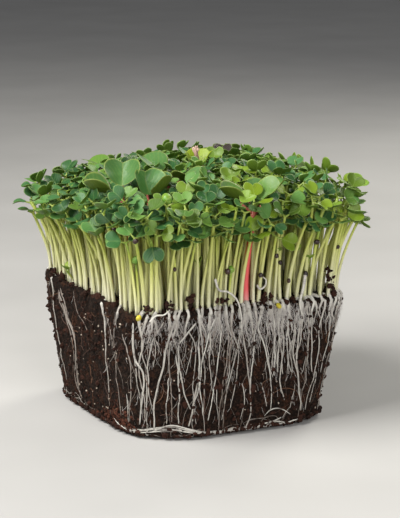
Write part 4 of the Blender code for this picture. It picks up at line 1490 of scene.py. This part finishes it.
# Each light: how far it stands to the right, towards the camera and up, its size, its power and its colour
LIGHTS = {
    "key": ((-0.5, 0.3, 0.75), 0.6, 15.5, (1.0, 0.98, 0.94)),
    "fill": ((0.4, 1.0, 0.42), 0.7, 8.8, (1.0, 0.98, 0.96)),
    "back": ((0.45, -0.65, 0.6), 0.4, 4.5, (1.0, 0.97, 0.88)),
}


def make_lights():
    """A soft key light from the upper left, a wide fill, and one behind that shows through the leaves."""
    for name, ((right, near, up), size, power, colour) in LIGHTS.items():
        data = bpy.data.lights.new(name, "AREA")
        data.shape = "DISK"
        data.size, data.energy, data.color = size, power, colour
        place = LEVEL_RIGHT * right + LEVEL * near + Vector((0, 0, up))
        place_towards(name, data, place, LIT_PLACE - place)


SKY_COLOUR = (0.94, 0.96, 1.0, 1)
SKY_STRENGTH = 0.15


def make_world():
    world = bpy.data.worlds.new("studio")
    bpy.context.scene.world = world
    world.use_nodes = True
    background = world.node_tree.nodes["Background"]
    background.inputs["Color"].default_value = SKY_COLOUR
    background.inputs["Strength"].default_value = SKY_STRENGTH


FLOOR_HALF = 3.0


def make_floor():
    mesh = bpy.data.meshes.new("floor")
    corners = [(x * FLOOR_HALF, y * FLOOR_HALF, 0) for x, y in ((-1, -1), (1, -1), (1, 1), (-1, 1))]
    mesh.from_pydata(corners, [], [(0, 1, 2, 3)])
    floor = bpy.data.objects.new("floor", mesh)
    bpy.context.scene.collection.objects.link(floor)
    nodes = Nodes("floor")
    colour = nodes.ramp(nodes.noise(9, 2.0), ((0.3, (0.40, 0.395, 0.385)), (0.7, (0.44, 0.435, 0.425))))
    mesh.materials.append(nodes.finish(Base_Color=colour, Roughness=0.7))


def keep(piece, slot, *nodes):
    """The piece rides on the body and stands for CAD nodes; its slot is not used."""
    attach(piece, "root")
    if nodes:
        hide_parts(*nodes)


# How lime a seedling is, from 0 to 1: a random tone of its own, plus painted back-light glow towards the
# canopy's right; below 0 it is purple
CANOPY_HALF = 0.07
RADISH_LIME = {"radish_crest": 0.95}
PURPLE_LIME = -1.0
PURPLE_TIPS = ((238, 160), (222, 158))
REACHING_BASE = (-0.0470, 0.0400)
REACHING_TIP = Vector((-0.0580, 0.0460, 0.0900))
REACHING_LEAVES = ((154, 6, 0.85), (60, 55, 0.8))


def reaching_seedling():
    """The one that leans far out at the left of the photo."""
    leaves = [Leaf(REACHING_TIP, math.radians(heading), math.radians(rise), LEAF_HALF, size)
              for heading, rise, size in REACHING_LEAVES]
    return Seedling(*REACHING_BASE, REACHING_TIP, STEM_RADIUS, leaves)


def tip_in_photo(column, row, stems):
    """The seedling whose tip shows nearest to the photo's pixel."""
    return min(stems, key=lambda stem: math.dist(in_photo(stem.tip)[:2], (column, row)))


def make_seedlings(materials, clumps, radishes, stand):
    """Fine seedlings: a piece for each clump with the stand round it, and one for each radish seedling."""
    small = small_blade()
    large = Blade(RADISH_HALF, RADISH_CENTRE, RADISH_SIDE_POINTS, RADISH_RINGS, RADISH_FOLD)
    rng = random.Random(STAND_SEED + 1)
    groups = [list(stems) for x, y, stems in clumps]
    for seedling in stand:
        far = [math.hypot(seedling.base.x - x, seedling.base.y - y) for x, y, stems in clumps]
        groups[far.index(min(far))].append(seedling)
    purple = [tip_in_photo(column, row, stand) for column, row in PURPLE_TIPS]
    for number, group in enumerate(groups, start=1):
        shape = Shape()
        for seedling in group:
            # A random lime tone, plus painted back-light glow that grows towards the canopy's right as seen
            # by the camera.
            lime = max(0.0, rng.uniform(-0.75, 0.55) + 0.30 * (seedling.tip.dot(RIGHT) / CANOPY_HALF))
            fine_seedling(shape, seedling, small, (0, 1), rng, PURPLE_LIME if seedling in purple else lime)
        piece = shape.build(f"seedlings_{number:02d}", [materials["stem"], materials["leaf"]])
        keep(piece, "seedling", f"clump_{number:02d}")
    finishes = [materials["radish_stem"], materials["radish_leaf"]]
    for name, radish in radishes.items():
        shape = Shape()
        fine_seedling(shape, radish, large, (0, 1), rng, RADISH_LIME.get(name, rng.uniform(0.0, 0.35)))
        keep(shape.build(name.replace("radish", "radish_seedling"), finishes), "radish_seedling", name)


def build():
    bpy.context.scene.view_settings.view_transform = "Standard"
    make_camera()
    make_world()
    make_lights()
    make_floor()
    materials = make_materials()
    rng = random.Random(SEED)
    crowd = Crowd()
    radishes = place_radishes(crowd, rng)
    clumps = place_clumps(crowd, rng)
    clump_stems = [stem for x, y, stems in clumps for stem in stems]
    radish_stems = list(radishes.values())
    stand = place_stand(crowd, random.Random(STAND_SEED), clump_stems + radish_stems) + [reaching_seedling()]
    print(f"{len(clump_stems)} seedlings of the clumps, and {len(stand)} more")
    make_seedlings(materials, clumps, radishes, stand)
    stems = clump_stems + stand
    keep(make_small_things(materials, stems, radishes["radish_crest"]), "seedling")
    keep(make_soil(materials), "potting_mix", "soil_block")
    keep(make_crumbs(materials), "potting_mix")
    roots, routes = make_roots(materials, stems + radish_stems)
    keep(roots, "root", "root_net")
    keep(make_hairs(materials, routes), "root")


build()
